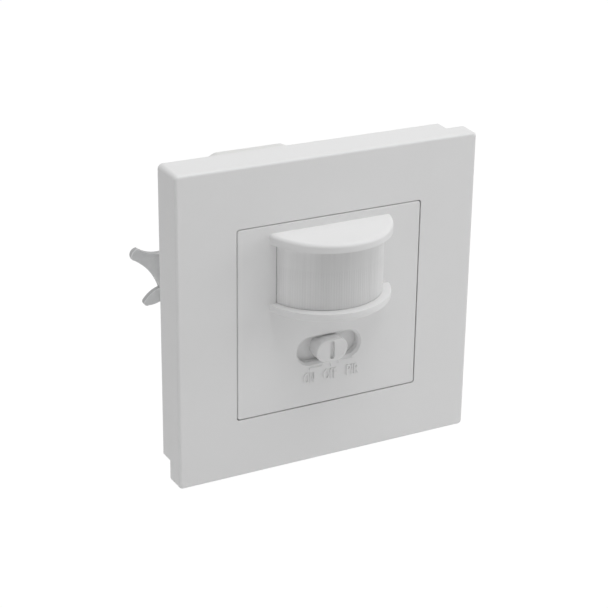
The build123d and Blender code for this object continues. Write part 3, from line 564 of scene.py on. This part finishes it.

# %% [markdown]
# Metals. The yoke, claws and screws are zinc plated steel, pale with duller
# patches. The claws' walls are darker, partly as sheared steel and partly as
# painted shade: the claws' meshes carry an attribute that says how far each
# face, the collar's too, turns away from the flat of the sheet. The terminal
# parts are brass.

# %% Metals
add_finish(
    "zinc_steel", drawn_metal,
    {"Colour": rgb(0.88, 0.885, 0.89), "Patch": 0.24, "Gloss": 0.34, "Gloss drift": 0.12,
     "Stretch": (1, 0.3, 1), "Depth": 0.00002, "Dents": 0.00025, "Cut shade": 0.5},
    Metallic=0.5,
)
add_finish(
    "brass", drawn_metal,
    {"Colour": rgb(0.72, 0.5, 0.2), "Patch": 0.2, "Gloss": 0.28, "Gloss drift": 0.1,
     "Stretch": (1, 0.2, 1), "Depth": 0.00001},
    Metallic=1.0,
)
add_finish(
    "gold_pin", drawn_metal,
    {"Colour": rgb(0.85, 0.62, 0.25), "Patch": 0.08, "Gloss": 0.2, "Gloss drift": 0.05,
     "Stretch": (1, 0.1, 1), "Depth": 0.000005},
    Metallic=1.0,
)
add_finish(
    "tin_can", drawn_metal,
    {"Colour": rgb(0.72, 0.71, 0.68), "Patch": 0.1, "Gloss": 0.24, "Gloss drift": 0.06,
     "Stretch": (1, 1, 0.2), "Depth": 0.000005},
    Metallic=1.0,
)
add_finish(
    "copper_wire", drawn_metal,
    {"Colour": rgb(0.55, 0.2, 0.06), "Patch": 0.2, "Gloss": 0.3, "Gloss drift": 0.08,
     "Stretch": (0.2, 4, 0.2), "Depth": 0.00005},
    Metallic=0.8,
)
print("finishes so far:", len(finishes))

# %% [markdown]
# Clear pieces: the dark filter glass of the motion sensor and the clear dome
# of the light sensor. Their transmission is plain, so it is set on the shader.

# %% Clear pieces
add_finish(
    "dark_glass", moulded_grain,
    {"Colour": rgb(0.04, 0.04, 0.05), "Tone": 0.1, "Gloss": 0.1, "Gloss drift": 0.03,
     "Grain": 1200.0, "Depth": 0.000002},
    Coat_Weight=0.5,
)
add_finish(
    "clear_dome", moulded_grain,
    {"Colour": rgb(0.85, 0.88, 0.9), "Tone": 0.02, "Gloss": 0.08, "Gloss drift": 0.02,
     "Grain": 900.0, "Depth": 0.000002},
    Transmission_Weight=0.7, IOR=1.5,
)
print("finishes:", len(finishes))

# %% [markdown]
# The lens is milky polyethylene, about a millimetre thick, with fine upright
# ribs moulded into its lower two thirds. Light goes into it and comes out
# again a little further on, which is subsurface scattering. The ribs follow
# the angle around the lens's axis, which the material works out from Object
# coordinates. The middle is a shade darker than the two ends: painted shade,
# for the light that falls less on the middle than on the ends.

# %% Lens finish
LENS_AXIS_Y = -4.68
LENS_RIBS = 150
RIB_TOP_Z = 14.6
RIB_FADE = 0.5
HALF_WAVE = 0.5
RIB_DEPTH_SPREAD = (0.4, 1.6)
CLOUD_SCALE = 300.0
CLOUD_DETAIL = 3.0
CLOUD_ROUGHNESS = 0.08
STREAK_SCALE = 0.45
STREAK_DETAIL = 4.0
STREAK_RISE = 60.0
# The x range, in mm, of the painted shade on the middle of the lens: full within the first,
# none beyond the second.
PAINTED_SHADE_CORE_X = 6.0
PAINTED_SHADE_END_X = 14.5


def smooth_step(group, value, low, high):
    """A soft rise from 0 at low to 1 at high, both in mm."""
    node = group.nodes.new("ShaderNodeMapRange")
    node.interpolation_type = "SMOOTHSTEP"
    node.inputs["From Min"].default_value = low * MM
    node.inputs["From Max"].default_value = high * MM
    group.links.new(value, node.inputs["Value"])
    return node.outputs["Result"]


def make_lens_ribs():
    group, given, result = new_group("lens_ribs", [
        ("Colour", "NodeSocketColor", (0.85, 0.85, 0.85, 1)),
        ("Rib depth", "NodeSocketFloat", 0.00006),
        ("Rib shade", "NodeSocketFloat", 0.05),
        ("Streak", "NodeSocketFloat", 0.06),
        ("Middle shade", "NodeSocketFloat", 0.1),
        ("Gloss", "NodeSocketFloat", 0.3),
    ])
    place = object_place(group)
    split = group.nodes.new("ShaderNodeSeparateXYZ")
    group.links.new(place, split.inputs[0])
    depth = math_node(group, "SUBTRACT", split.outputs["Y"], LENS_AXIS_Y * MM)
    angle = math_node(group, "ARCTAN2", split.outputs["X"], depth)
    turns = math_node(group, "MULTIPLY", angle, LENS_RIBS / math.tau)
    wave = math_node(group, "PINGPONG", turns, HALF_WAVE)
    fade = smooth_step(group, split.outputs["Z"], RIB_TOP_Z + RIB_FADE, RIB_TOP_Z - RIB_FADE)
    ribs = math_node(group, "MULTIPLY", wave, fade)
    cloud = noise_node(group, place, CLOUD_SCALE, CLOUD_DETAIL)
    height = math_node(group, "MULTIPLY", ribs, remap(group, cloud, *RIB_DEPTH_SPREAD))
    darker = math_node(group, "MULTIPLY", ribs, given["Rib shade"])
    tone = math_node(group, "SUBTRACT", 1.0, math_node(group, "DIVIDE", darker, HALF_WAVE))

    around = group.nodes.new("ShaderNodeCombineXYZ")
    group.links.new(turns, around.inputs["X"])
    rise = math_node(group, "MULTIPLY", split.outputs["Z"], STREAK_RISE)
    group.links.new(rise, around.inputs["Z"])
    streaks = noise_node(group, around.outputs[0], STREAK_SCALE, STREAK_DETAIL)
    twice = math_node(group, "MULTIPLY", given["Streak"], 2.0)
    streak_tone = remap(group, streaks, math_node(group, "SUBTRACT", 1.0, twice), 1.0)
    tone = math_node(group, "MULTIPLY", tone, streak_tone)

    # Painted shade: the middle of the lens is darkened, and less so towards the two ends, for
    # the light that falls less on the middle.
    aside = math_node(group, "ABSOLUTE", split.outputs["X"], 0.0)
    painted_shade_mask = smooth_step(group, aside, PAINTED_SHADE_END_X, PAINTED_SHADE_CORE_X)
    painted_shade = math_node(group, "MULTIPLY", painted_shade_mask, given["Middle shade"])
    tone = math_node(group, "MULTIPLY", tone, math_node(group, "SUBTRACT", 1.0, painted_shade))
    group.links.new(shade(group, given["Colour"], tone), result["Colour"])
    rough = math_node(
        group, "ADD", given["Gloss"], math_node(group, "MULTIPLY", cloud, CLOUD_ROUGHNESS))
    group.links.new(rough, result["Roughness"])
    group.links.new(bump(group, height, given["Rib depth"]), result["Normal"])
    return group


add_finish(
    "milky_lens", make_lens_ribs(),
    {"Colour": rgb(0.94, 0.94, 0.94), "Rib depth": 0.00006, "Rib shade": 0.04, "Streak": 0.09,
     "Middle shade": 0.16, "Gloss": 0.28},
    IOR=1.5, Subsurface_Weight=0.5, Subsurface_Scale=0.0015, Subsurface_Radius=(1, 1, 1),
)
print("lens ribs over the full turn:", LENS_RIBS)

# %% [markdown]
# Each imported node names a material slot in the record, and a finish of the
# same name goes on it.

# %% Put the finishes on
slot_of = {entry["node"]: entry["material_slot"] for entry in frame["record"]["subparts"]}
for node_name, node in nodes.items():
    node.data.materials.clear()
    node.data.materials.append(finishes[slot_of[node_name]])
print("nodes with a finish:", len(slot_of))

# %% [markdown]
# New pieces need a few helpers. An operator acts on everything selected, so
# each piece starts with nothing selected, and faces are picked by a test on
# their middle point. A finished piece sits at the origin with its place in
# its mesh.

# %% Modelling helpers
MERGE_GAP = 0.002


def select_only(obj):
    bpy.ops.object.select_all(action="DESELECT")
    obj.select_set(True)
    bpy.context.view_layer.objects.active = obj


def choose(test, kind="FACE"):
    """In edit mode, selects the faces or edges whose middle in mm passes a test."""
    data = bpy.context.object.data
    bpy.ops.mesh.select_mode(type=kind)
    bpy.ops.mesh.select_all(action="DESELECT")
    mesh = bmesh.from_edit_mesh(data)
    for item in mesh.faces if kind == "FACE" else mesh.edges:
        middle = sum((vert.co for vert in item.verts), Vector()) / len(item.verts)
        if test(middle / MM, item):
            item.select_set(True)
    bmesh.update_edit_mesh(data)


def settle(obj, name, slot_name, body):
    """Puts a piece's place into its mesh, and gives it its finish and body."""
    select_only(obj)
    bpy.ops.object.transform_apply(location=True, rotation=True, scale=True)
    obj.name = name
    obj.data.name = name
    obj.data.materials.clear()
    obj.data.materials.append(finishes[slot_name])
    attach(obj, body)


def mend_normals():
    """Merges doubles and turns every face outwards, in edit mode."""
    bpy.ops.mesh.select_all(action="SELECT")
    bpy.ops.mesh.remove_doubles(threshold=MERGE_GAP * MM)
    bpy.ops.mesh.normals_make_consistent(inside=False)


def apply_bevel(obj, width, segments=3, angle=30):
    """Rounds every edge sharper than an angle."""
    select_only(obj)
    bevel = obj.modifiers.new("bevel", "BEVEL")
    bevel.width = width * MM
    bevel.segments = segments
    bevel.limit_method = "ANGLE"
    bevel.angle_limit = math.radians(angle)
    bevel.use_clamp_overlap = True
    bpy.ops.object.modifier_apply(modifier=bevel.name)


def smooth_below(angle):
    """Shades the active piece smooth, but for edges sharper than an angle."""
    bpy.ops.object.shade_smooth_by_angle(angle=math.radians(angle))


# %% [markdown]
# The lens is part of a tube, so it starts as a cylinder without caps. Bisect
# cuts it off behind the plate's face, its upright ends are drawn back through
# the plate, and it gets its wall from Solidify. A line around it at the top of
# the ribs lets the lower part keep flat facets, one for each rib, while the
# plain band above stays smooth.

# %% Lens
LENS_RADIUS = 15.42
LENS_LOW_Z = 4.7
LENS_HIGH_Z = 20.2
LENS_FACETS = 150
PLATE_FRONT_Y = -9.5
FLANGE_BACK_Y = -6.6
FLANGE_MARGIN = 1.6
LENS_WALL = 0.9
UPRIGHT_LENGTH = 1.0

bpy.ops.object.select_all(action="DESELECT")
lens_middle_z = (LENS_LOW_Z + LENS_HIGH_Z) / 2
bpy.ops.mesh.primitive_cylinder_add(
    vertices=LENS_FACETS, radius=LENS_RADIUS * MM, depth=(LENS_HIGH_Z - LENS_LOW_Z) * MM,
    end_fill_type="NOTHING", location=(0, LENS_AXIS_Y * MM, lens_middle_z * MM),
)
lens = bpy.context.object
bpy.ops.object.transform_apply(location=True, rotation=True, scale=True)
bpy.ops.object.mode_set(mode="EDIT")
bpy.ops.mesh.select_all(action="SELECT")
bpy.ops.mesh.bisect(
    plane_co=(0, PLATE_FRONT_Y * MM, 0), plane_no=(0, 1, 0), clear_outer=True,
)
choose(lambda p, edge: abs(p.y - PLATE_FRONT_Y) < MERGE_GAP
       and abs(edge.verts[0].co.z - edge.verts[1].co.z) > UPRIGHT_LENGTH * MM, "EDGE")
bpy.ops.mesh.extrude_region_move(
    TRANSFORM_OT_translate={"value": (0, (FLANGE_BACK_Y - PLATE_FRONT_Y) * MM, 0)})
bpy.ops.mesh.select_all(action="SELECT")
bpy.ops.mesh.bisect(plane_co=(0, 0, RIB_TOP_Z * MM), plane_no=(0, 0, 1))
mend_normals()
bpy.ops.object.mode_set(mode="OBJECT")
wall = lens.modifiers.new("wall", "SOLIDIFY")
wall.thickness = LENS_WALL * MM
wall.offset = -1
bpy.ops.object.modifier_apply(modifier=wall.name)
print("lens faces:", len(lens.data.polygons))

# %% [markdown]
# The flange lies behind the plate and keeps the lens from falling out. It is
# a thin slab with an opening, which inset and a deleted middle give it.

# %% Lens flange
LENS_SMOOTH_ANGLE = 25
LENS_HALF_WIDTH = 14.65
FLANGE_THICKNESS = 0.8
FLANGE_ROUNDING = 0.15
UPRIGHT_FACE = 0.1

bpy.ops.object.select_all(action="DESELECT")
bpy.ops.mesh.primitive_plane_add(size=1, location=(0, 0, 0))
flange = bpy.context.object
half_width = LENS_HALF_WIDTH + FLANGE_MARGIN
half_height = (LENS_HIGH_Z - LENS_LOW_Z) / 2 + FLANGE_MARGIN
flange.scale = (2 * half_width * MM, 2 * half_height * MM, 1)
flange.rotation_euler = (math.pi / 2, 0, 0)
flange.location = (0, (FLANGE_BACK_Y - FLANGE_THICKNESS) * MM, lens_middle_z * MM)
bpy.ops.object.transform_apply(location=True, rotation=True, scale=True)
bpy.ops.object.mode_set(mode="EDIT")
bpy.ops.mesh.select_all(action="SELECT")
bpy.ops.mesh.inset(thickness=(FLANGE_MARGIN + LENS_WALL) * MM)
bpy.ops.mesh.delete(type="FACE")
bpy.ops.mesh.select_all(action="SELECT")
bpy.ops.mesh.extrude_region_move(
    TRANSFORM_OT_translate={"value": (0, FLANGE_THICKNESS * MM, 0)})
mend_normals()
bpy.ops.object.mode_set(mode="OBJECT")
apply_bevel(flange, FLANGE_ROUNDING, segments=2)

select_only(lens)
flange.select_set(True)
bpy.ops.object.join()
settle(lens, "ribbed_lens", "milky_lens", "body")
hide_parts("fresnel_lens")
select_only(lens)
smooth_below(LENS_SMOOTH_ANGLE)
bpy.ops.object.mode_set(mode="EDIT")
choose(lambda p, face: p.z < RIB_TOP_Z and p.y < PLATE_FRONT_Y
       and abs(face.normal.z) < UPRIGHT_FACE)
bpy.ops.mesh.faces_shade_flat()
bpy.ops.object.mode_set(mode="OBJECT")
print("lens size in mm:", [round(v / MM, 2) for v in lens.dimensions])

# %% [markdown]
# Below the slot the plate carries small raised marks: a word under each
# position of the knob, and a thin stepped line with short ticks. Text starts
# as a curve, is made a mesh, and only then gets its place. It is thick enough
# to sink a little into the plate, so no gap shows under it.

# %% Raised marks
MARK_RELIEF = 0.22
MARK_SINK = 0.1
MARK_HEIGHT = 2.9
MARK_Z = -17.6
TYPE_SIZE_SHARE = 1.38
LETTER_ROUNDING = 0.03
LETTER_CURVE_STEPS = 4
MARK_Y = PLATE_FRONT_Y - (MARK_RELIEF - MARK_SINK) / 2
MARKS = {"mark_on": ("ON", -5.4, 0.5), "mark_off": ("OFF", 0.45, 0.55),
         "mark_sensor": ("PIR", 6.8, 0.68)}

for mark_name, (word, middle_x, squeeze) in MARKS.items():
    bpy.ops.object.select_all(action="DESELECT")
    bpy.ops.object.text_add(location=(0, 0, 0))
    text = bpy.context.object.data
    text.body = word
    text.align_x = "CENTER"
    text.align_y = "CENTER"
    text.size = MARK_HEIGHT * TYPE_SIZE_SHARE * MM
    text.extrude = (MARK_RELIEF + MARK_SINK) / 2 * MM
    text.bevel_depth = LETTER_ROUNDING * MM
    text.bevel_resolution = 1
    text.resolution_u = LETTER_CURVE_STEPS
    bpy.ops.object.convert(target="MESH")
    mark = bpy.context.object
    mark.data.transform(Matrix.Diagonal((squeeze, 1, 1, 1)))
    mark.data.transform(Matrix.Rotation(math.pi / 2, 4, "X"))
    mark.data.transform(Matrix.Translation(Vector((middle_x, MARK_Y, MARK_Z)) * MM))
    settle(mark, mark_name, "white_cover", "body")
    print(mark_name, "size in mm:", [round(v / MM, 2) for v in mark.dimensions])

# %% Raised scale line
LINE_WIDTH = 0.22
LINE_ROUNDING = 0.06
SCALE_BARS = {
    "scale_line_left": (-3.6, -14.85, 3.4, LINE_WIDTH),
    "scale_drop_left": (-5.3, -15.2, LINE_WIDTH, 0.7),
    "scale_tick_middle": (0.6, -15.0, LINE_WIDTH, 0.9),
    "scale_tick_right": (2.8, -14.7, LINE_WIDTH, 0.8),
    "scale_line_right": (5.5, -14.3, 2.8, LINE_WIDTH),
}
for bar_name, (middle_x, middle_z, width, height) in SCALE_BARS.items():
    bpy.ops.object.select_all(action="DESELECT")
    bpy.ops.mesh.primitive_cube_add(
        size=1, location=(middle_x * MM, MARK_Y * MM, middle_z * MM))
    bar = bpy.context.object
    bar.scale = (width * MM, (MARK_RELIEF + MARK_SINK) * MM, height * MM)
    bpy.ops.object.transform_apply(location=True, rotation=True, scale=True)
    apply_bevel(bar, LINE_ROUNDING, segments=2)
    settle(bar, bar_name, "white_cover", "body")
print("raised marks:", len(MARKS) + len(SCALE_BARS))

# %% [markdown]
# Moulded and stamped pieces have no knife-sharp edges. Modelling them again
# would lose their exact pockets, so the solid's own mesh is copied, its loose
# triangles are merged and its flat faces cleared of needless edges. Then the
# outer edges are picked, and Bevel rounds them. An edge is an outer one if the
# whole piece lies behind both of its faces. Pockets and holes stay as they
# are, and so does an edge whose rounding would reach into a hole.

# %% Rounded pieces
OUTER_TOLERANCE = 0.01
EDGE_SEGMENTS = 3
SHARP_ANGLE = math.radians(12)
FLAT_ANGLE = math.radians(1)
CASE_SMOOTH_ANGLE = 32


def distance_to_edge(point, start, end):
    along = end - start
    share = (point - start).dot(along) / along.length_squared
    return (start + min(max(share, 0), 1) * along - point).length


def choose_outer_edges(obj, width):
    """In edit mode, selects the sharp outer edges that no hole is near to."""
    bpy.ops.mesh.select_mode(type="EDGE")
    bpy.ops.mesh.select_all(action="DESELECT")
    mesh = bmesh.from_edit_mesh(obj.data)
    places = [vert.co.copy() for vert in mesh.verts]
    outside = {
        face.index for face in mesh.faces
        if max((place - face.verts[0].co).dot(face.normal) for place in places)
        < OUTER_TOLERANCE * MM
    }
    sharp = [
        edge for edge in mesh.edges
        if len(edge.link_faces) == 2 and edge.calc_face_angle() >= SHARP_ANGLE
        and all(face.index in outside for face in edge.link_faces)
    ]
    corners = {vert.index for edge in sharp for vert in edge.verts}
    rims = [vert.co.copy() for vert in mesh.verts if vert.index not in corners]
    for edge in sharp:
        ends = [vert.co.copy() for vert in edge.verts]
        if all(distance_to_edge(rim, *ends) > width * MM for rim in rims):
            edge.select_set(True)
    bmesh.update_edit_mesh(obj.data)


def rounded_copy(node_name, name, width):
    """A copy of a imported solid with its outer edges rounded."""
    bpy.ops.object.select_all(action="DESELECT")
    copy = nodes[node_name].copy()
    copy.data = nodes[node_name].data.copy()
    bpy.context.scene.collection.objects.link(copy)
    select_only(copy)
    bpy.ops.object.mode_set(mode="EDIT")
    bpy.ops.mesh.select_all(action="SELECT")
    bpy.ops.mesh.remove_doubles(threshold=MERGE_GAP * MM)
    bpy.ops.mesh.select_all(action="SELECT")
    bpy.ops.mesh.dissolve_limited(angle_limit=FLAT_ANGLE)
    choose_outer_edges(copy, width)
    bpy.ops.mesh.bevel(
        offset=width * MM, segments=EDGE_SEGMENTS, affect="EDGES", clamp_overlap=True)
    bpy.ops.object.mode_set(mode="OBJECT")
    smooth_below(CASE_SMOOTH_ANGLE)
    settle(copy, name, slot_of[node_name], "body")
    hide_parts(node_name)
    return copy


ROUNDED = {
    "rear_housing": ("moulded_housing", 0.45),
    "mounting_yoke": ("stamped_yoke", 0.15),
    "terminal_block": ("moulded_terminal_block", 0.2),
    "relay": ("relay_case", 0.4),
    "mains_capacitor": ("boxed_capacitor", 0.35),
    "board_connector_body": ("moulded_connector", 0.15),
    "slide_switch_body": ("slide_switch_case", 0.12),
}
for node_name, (copy_name, width) in ROUNDED.items():
    rounded = rounded_copy(node_name, copy_name, width)
    print(copy_name, "faces:", len(rounded.data.polygons))

# %% [markdown]
# Each claw is stamped from steel sheet: a long prong and a short one that bite
# into the wall box, and a threaded collar that its long screw runs through.
# The outline is a row of arcs through points in mm, given as the way out from
# the left screw and up. A disc of as many points as the outline needs is the
# start. Its points go to the outline, Extrude gives the sheet, and a Boolean
# makes the hole. The right claw is the left one turned half round.

# %% Claw sizes
CLAW_SHEET = 1.6
CLAW_HOLE = 1.55
CLAW_ROUNDING = 0.2
COLLAR_RADIUS = 2.5
COLLAR_LENGTH = 2.5
COLLAR_ROUNDING = 0.3
ROUNDED_ANGLE = 40
CLAW_SMOOTH_ANGLE = 30
HOLE_FACETS = 32
CLAW_ARCS = (
    ((2.2, 6.3), (6.3, 6.8), (8.9, 8.3), 8),
    ((8.9, 8.3), (10.5, 7.2), (10.4, 5.5), 7),
    ((10.4, 5.5), (6.5, 2.4), (3.1, -3.5), 12),
    ((3.1, -3.5), (5.1, -4.4), (7.1, -6.2), 7),
    ((7.1, -6.2), (7.4, -7.4), (6.2, -7.9), 6),
    ((6.2, -7.9), (4.2, -7.7), (2.2, -7.0), 5),
)
CLAW_ROOT = (-2.0, 5.2)


def arc_points(first, middle, last, count):
    """Points on the circle through three points, without the last one."""
    (ax, ay), (bx, by), (cx, cy) = first, middle, last
    twice = 2 * (ax * (by - cy) + bx * (cy - ay) + cx * (ay - by))
    squares = [x * x + y * y for x, y in (first, middle, last)]
    ox = (squares[0] * (by - cy) + squares[1] * (cy - ay) + squares[2] * (ay - by)) / twice
    oy = (squares[0] * (cx - bx) + squares[1] * (ax - cx) + squares[2] * (bx - ax)) / twice
    radius = math.hypot(ax - ox, ay - oy)
    begin, halfway, end = [math.atan2(y - oy, x - ox) for x, y in (first, middle, last)]
    sweep = (end - begin) % math.tau
    if (halfway - begin) % math.tau > sweep:
        sweep -= math.tau
    angles = [begin + sweep * step / count for step in range(count)]
    return [(ox + radius * math.cos(a), oy + radius * math.sin(a)) for a in angles]


claw_points = [point for arc in CLAW_ARCS for point in arc_points(*arc)]
claw_points += [CLAW_ARCS[-1][2], (CLAW_ROOT[0], -CLAW_ROOT[1]), CLAW_ROOT]
print("claw outline points:", len(claw_points))


# %% Rods and cuts
def add_rod(radius, length, facets=48):
    """A cylinder along y with its middle at the origin, in mm."""
    bpy.ops.object.select_all(action="DESELECT")
    bpy.ops.mesh.primitive_cylinder_add(
        vertices=facets, radius=radius * MM, depth=length * MM,
        location=(0, 0, 0), rotation=(math.pi / 2, 0, 0))
    rod = bpy.context.object
    bpy.ops.object.transform_apply(location=True, rotation=True, scale=True)
    return rod


def cut_with(obj, cutter):
    """Takes the cutter's shape out of an object, and deletes the cutter."""
    select_only(obj)
    cut = obj.modifiers.new("cut", "BOOLEAN")
    cut.operation = "DIFFERENCE"
    cut.solver = "EXACT"
    cut.object = cutter
    bpy.ops.object.modifier_apply(modifier=cut.name)
    bpy.data.objects.remove(cutter)


def shift(obj, x, y):
    """Moves a mesh inside its object, in mm."""
    obj.data.transform(Matrix.Translation((x * MM, y * MM, 0)))


# %% Claw
SIDES = {"left": -1, "right": 1}
claw_screw_low, claw_screw_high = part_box("claw_screw_right")
CLAW_SCREW_X = (claw_screw_low.x + claw_screw_high.x) / 2 / MM


def mark_painted_wall_shade(obj):
    """Writes on each face how far it turns away from the flat of the sheet, for the darker
    walls: partly sheared steel, partly painted shade.
    """
    wall_shade_shares = [1 - abs(face.normal.y) for face in obj.data.polygons]
    obj.data.attributes.new(PAINTED_WALL_SHADE, "FLOAT", "FACE").data.foreach_set("value", wall_shade_shares)


def stamp_sheet():
    """The claw's sheet with its hole, standing on y = 0."""
    bpy.ops.object.select_all(action="DESELECT")
    bpy.ops.mesh.primitive_circle_add(
        vertices=len(claw_points), radius=COLLAR_RADIUS * MM, fill_type="NGON",
        location=(0, 0, 0))
    sheet = bpy.context.object
    bpy.ops.object.mode_set(mode="EDIT")
    mesh = bmesh.from_edit_mesh(sheet.data)
    for vert, (out, up) in zip(mesh.verts, claw_points):
        vert.co = Vector((out, 0, up)) * MM
    bmesh.update_edit_mesh(sheet.data)
    bpy.ops.mesh.select_all(action="SELECT")
    bpy.ops.mesh.extrude_region_move(
        TRANSFORM_OT_translate={"value": (0, CLAW_SHEET * MM, 0)})
    mend_normals()
    bpy.ops.object.mode_set(mode="OBJECT")
    cut_with(sheet, add_rod(CLAW_HOLE, 4 * CLAW_SHEET, HOLE_FACETS))
    apply_bevel(sheet, CLAW_ROUNDING, angle=ROUNDED_ANGLE)
    return sheet


def make_claw(side):
    """One claw with its collar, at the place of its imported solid."""
    low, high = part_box("claw_" + side)
    claw = stamp_sheet()
    shift(claw, 0, high.y / MM - CLAW_SHEET)
    collar = add_rod(COLLAR_RADIUS, COLLAR_LENGTH)
    cut_with(collar, add_rod(CLAW_HOLE, 2 * COLLAR_LENGTH, HOLE_FACETS))
    apply_bevel(collar, COLLAR_ROUNDING, angle=ROUNDED_ANGLE)
    shift(collar, 0, low.y / MM + COLLAR_LENGTH / 2)
    select_only(claw)
    collar.select_set(True)
    bpy.ops.object.join()
    claw.data.transform(Matrix.Diagonal((SIDES[side], 1, -SIDES[side], 1)))
    shift(claw, SIDES[side] * CLAW_SCREW_X, 0)
    select_only(claw)
    bpy.ops.object.mode_set(mode="EDIT")
    mend_normals()
    bpy.ops.object.mode_set(mode="OBJECT")
    smooth_below(CLAW_SMOOTH_ANGLE)
    mark_painted_wall_shade(claw)
    settle(claw, "stamped_claw_" + side, "zinc_steel", side + "_claw")
    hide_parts("claw_" + side)
    return claw


for claw_side in SIDES:
    fork = make_claw(claw_side)
    print(fork.name, "faces:", len(fork.data.polygons),
          "size in mm:", [round(v / MM, 1) for v in fork.dimensions])

# %% [markdown]
# A claw screw has a flat slotted head in front of the yoke and a thread down
# its whole shank. The thread is the edge profile of a single turn that the
# Screw modifier winds on, so it is a true helix and not a stack of rings. The
# profile grows from one point, by extruding it four times.

# %% Thread
THREAD_PITCH = 0.6
THREAD_ROOT = 1.2
THREAD_CREST = 1.5
THREAD_PROFILE = (
    (THREAD_ROOT, 0), (THREAD_ROOT, 0.12), (THREAD_CREST, 0.5), (THREAD_CREST, 0.62),
    (THREAD_ROOT, 1))
THREAD_STEPS = 20
TURN_MERGE_GAP = 0.01


def make_thread(turns):
    """A closed length of thread along y, wound on from its profile."""
    bpy.ops.object.select_all(action="DESELECT")
    bpy.ops.mesh.primitive_plane_add(size=1, location=(0, 0, 0))
    thread = bpy.context.object
    bpy.ops.object.mode_set(mode="EDIT")
    bpy.ops.mesh.select_all(action="SELECT")
    bpy.ops.mesh.merge(type="CENTER")
    bpy.ops.mesh.select_mode(type="VERT")
    profile = [Vector((radius, 0, share * THREAD_PITCH)) * MM
               for radius, share in THREAD_PROFILE]
    bpy.ops.mesh.select_all(action="SELECT")
    bpy.ops.transform.translate(value=profile[0])
    for last, following in zip(profile, profile[1:]):
        bpy.ops.mesh.extrude_region_move(
            TRANSFORM_OT_translate={"value": following - last})
    bpy.ops.object.mode_set(mode="OBJECT")
    wind = thread.modifiers.new("wind", "SCREW")
    wind.axis = "Z"
    wind.screw_offset = THREAD_PITCH * MM
    wind.iterations = turns
    wind.steps = THREAD_STEPS
    wind.render_steps = THREAD_STEPS
    wind.use_smooth_shade = False
    bpy.ops.object.modifier_apply(modifier=wind.name)
    bpy.ops.object.mode_set(mode="EDIT")
    bpy.ops.mesh.select_all(action="SELECT")
    bpy.ops.mesh.remove_doubles(threshold=TURN_MERGE_GAP * MM)
    bpy.ops.mesh.select_all(action="SELECT")
    bpy.ops.mesh.fill_holes(sides=0)
    mend_normals()
    if bmesh.from_edit_mesh(thread.data).calc_volume(signed=True) < 0:
        bpy.ops.mesh.flip_normals()
    bpy.ops.object.mode_set(mode="OBJECT")
    thread.data.transform(Matrix.Rotation(-math.pi / 2, 4, "X"))
    return thread


# %% Claw screws
HEAD_RADIUS = 3.0
HEAD_HEIGHT = 2.0
HEAD_ROUNDING = 0.22
SLOT_WIDTH = 0.9
SLOT_DEPTH = 0.9
NECK_FACETS = 40
SCREW_SMOOTH_ANGLE = 25


def make_head():
    """A round head with a slot across its front, around the origin."""
    head = add_rod(HEAD_RADIUS, HEAD_HEIGHT)
    bpy.ops.mesh.primitive_cube_add(size=1, location=(0, -HEAD_HEIGHT / 2 * MM, 0))
    slot_cutter = bpy.context.object
    slot_cutter.scale = (3 * HEAD_RADIUS * MM, 2 * SLOT_DEPTH * MM, SLOT_WIDTH * MM)
    bpy.ops.object.transform_apply(location=True, rotation=True, scale=True)
    cut_with(head, slot_cutter)
    apply_bevel(head, HEAD_ROUNDING, angle=ROUNDED_ANGLE)
    return head


def make_claw_screw(side):
    """A slotted screw with a wound thread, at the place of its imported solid."""
    low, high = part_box("claw_screw_" + side)
    head_back = low.y / MM + HEAD_HEIGHT
    shank_end = high.y / MM
    thread = make_thread(int((shank_end - head_back) / THREAD_PITCH) - 1)
    lowest = min(vert.co.y for vert in thread.data.vertices) / MM
    highest = max(vert.co.y for vert in thread.data.vertices) / MM
    shift(thread, 0, shank_end - highest)
    neck_length = shank_end - (highest - lowest) + THREAD_PITCH - head_back
    neck = add_rod(THREAD_CREST, neck_length, NECK_FACETS)
    shift(neck, 0, head_back + neck_length / 2)
    head = make_head()
    shift(head, 0, head_back - HEAD_HEIGHT / 2)
    select_only(head)
    neck.select_set(True)
    thread.select_set(True)
    bpy.ops.object.join()
    shift(head, SIDES[side] * CLAW_SCREW_X, 0)
    smooth_below(SCREW_SMOOTH_ANGLE)
    settle(head, "threaded_screw_" + side, "zinc_steel", side + "_claw_screw")
    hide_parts("claw_screw_" + side)
    return head


for claw_side in SIDES:
    screw = make_claw_screw(claw_side)
    print(screw.name, "faces:", len(screw.data.polygons),
          "size in mm:", [round(v / MM, 2) for v in screw.dimensions])
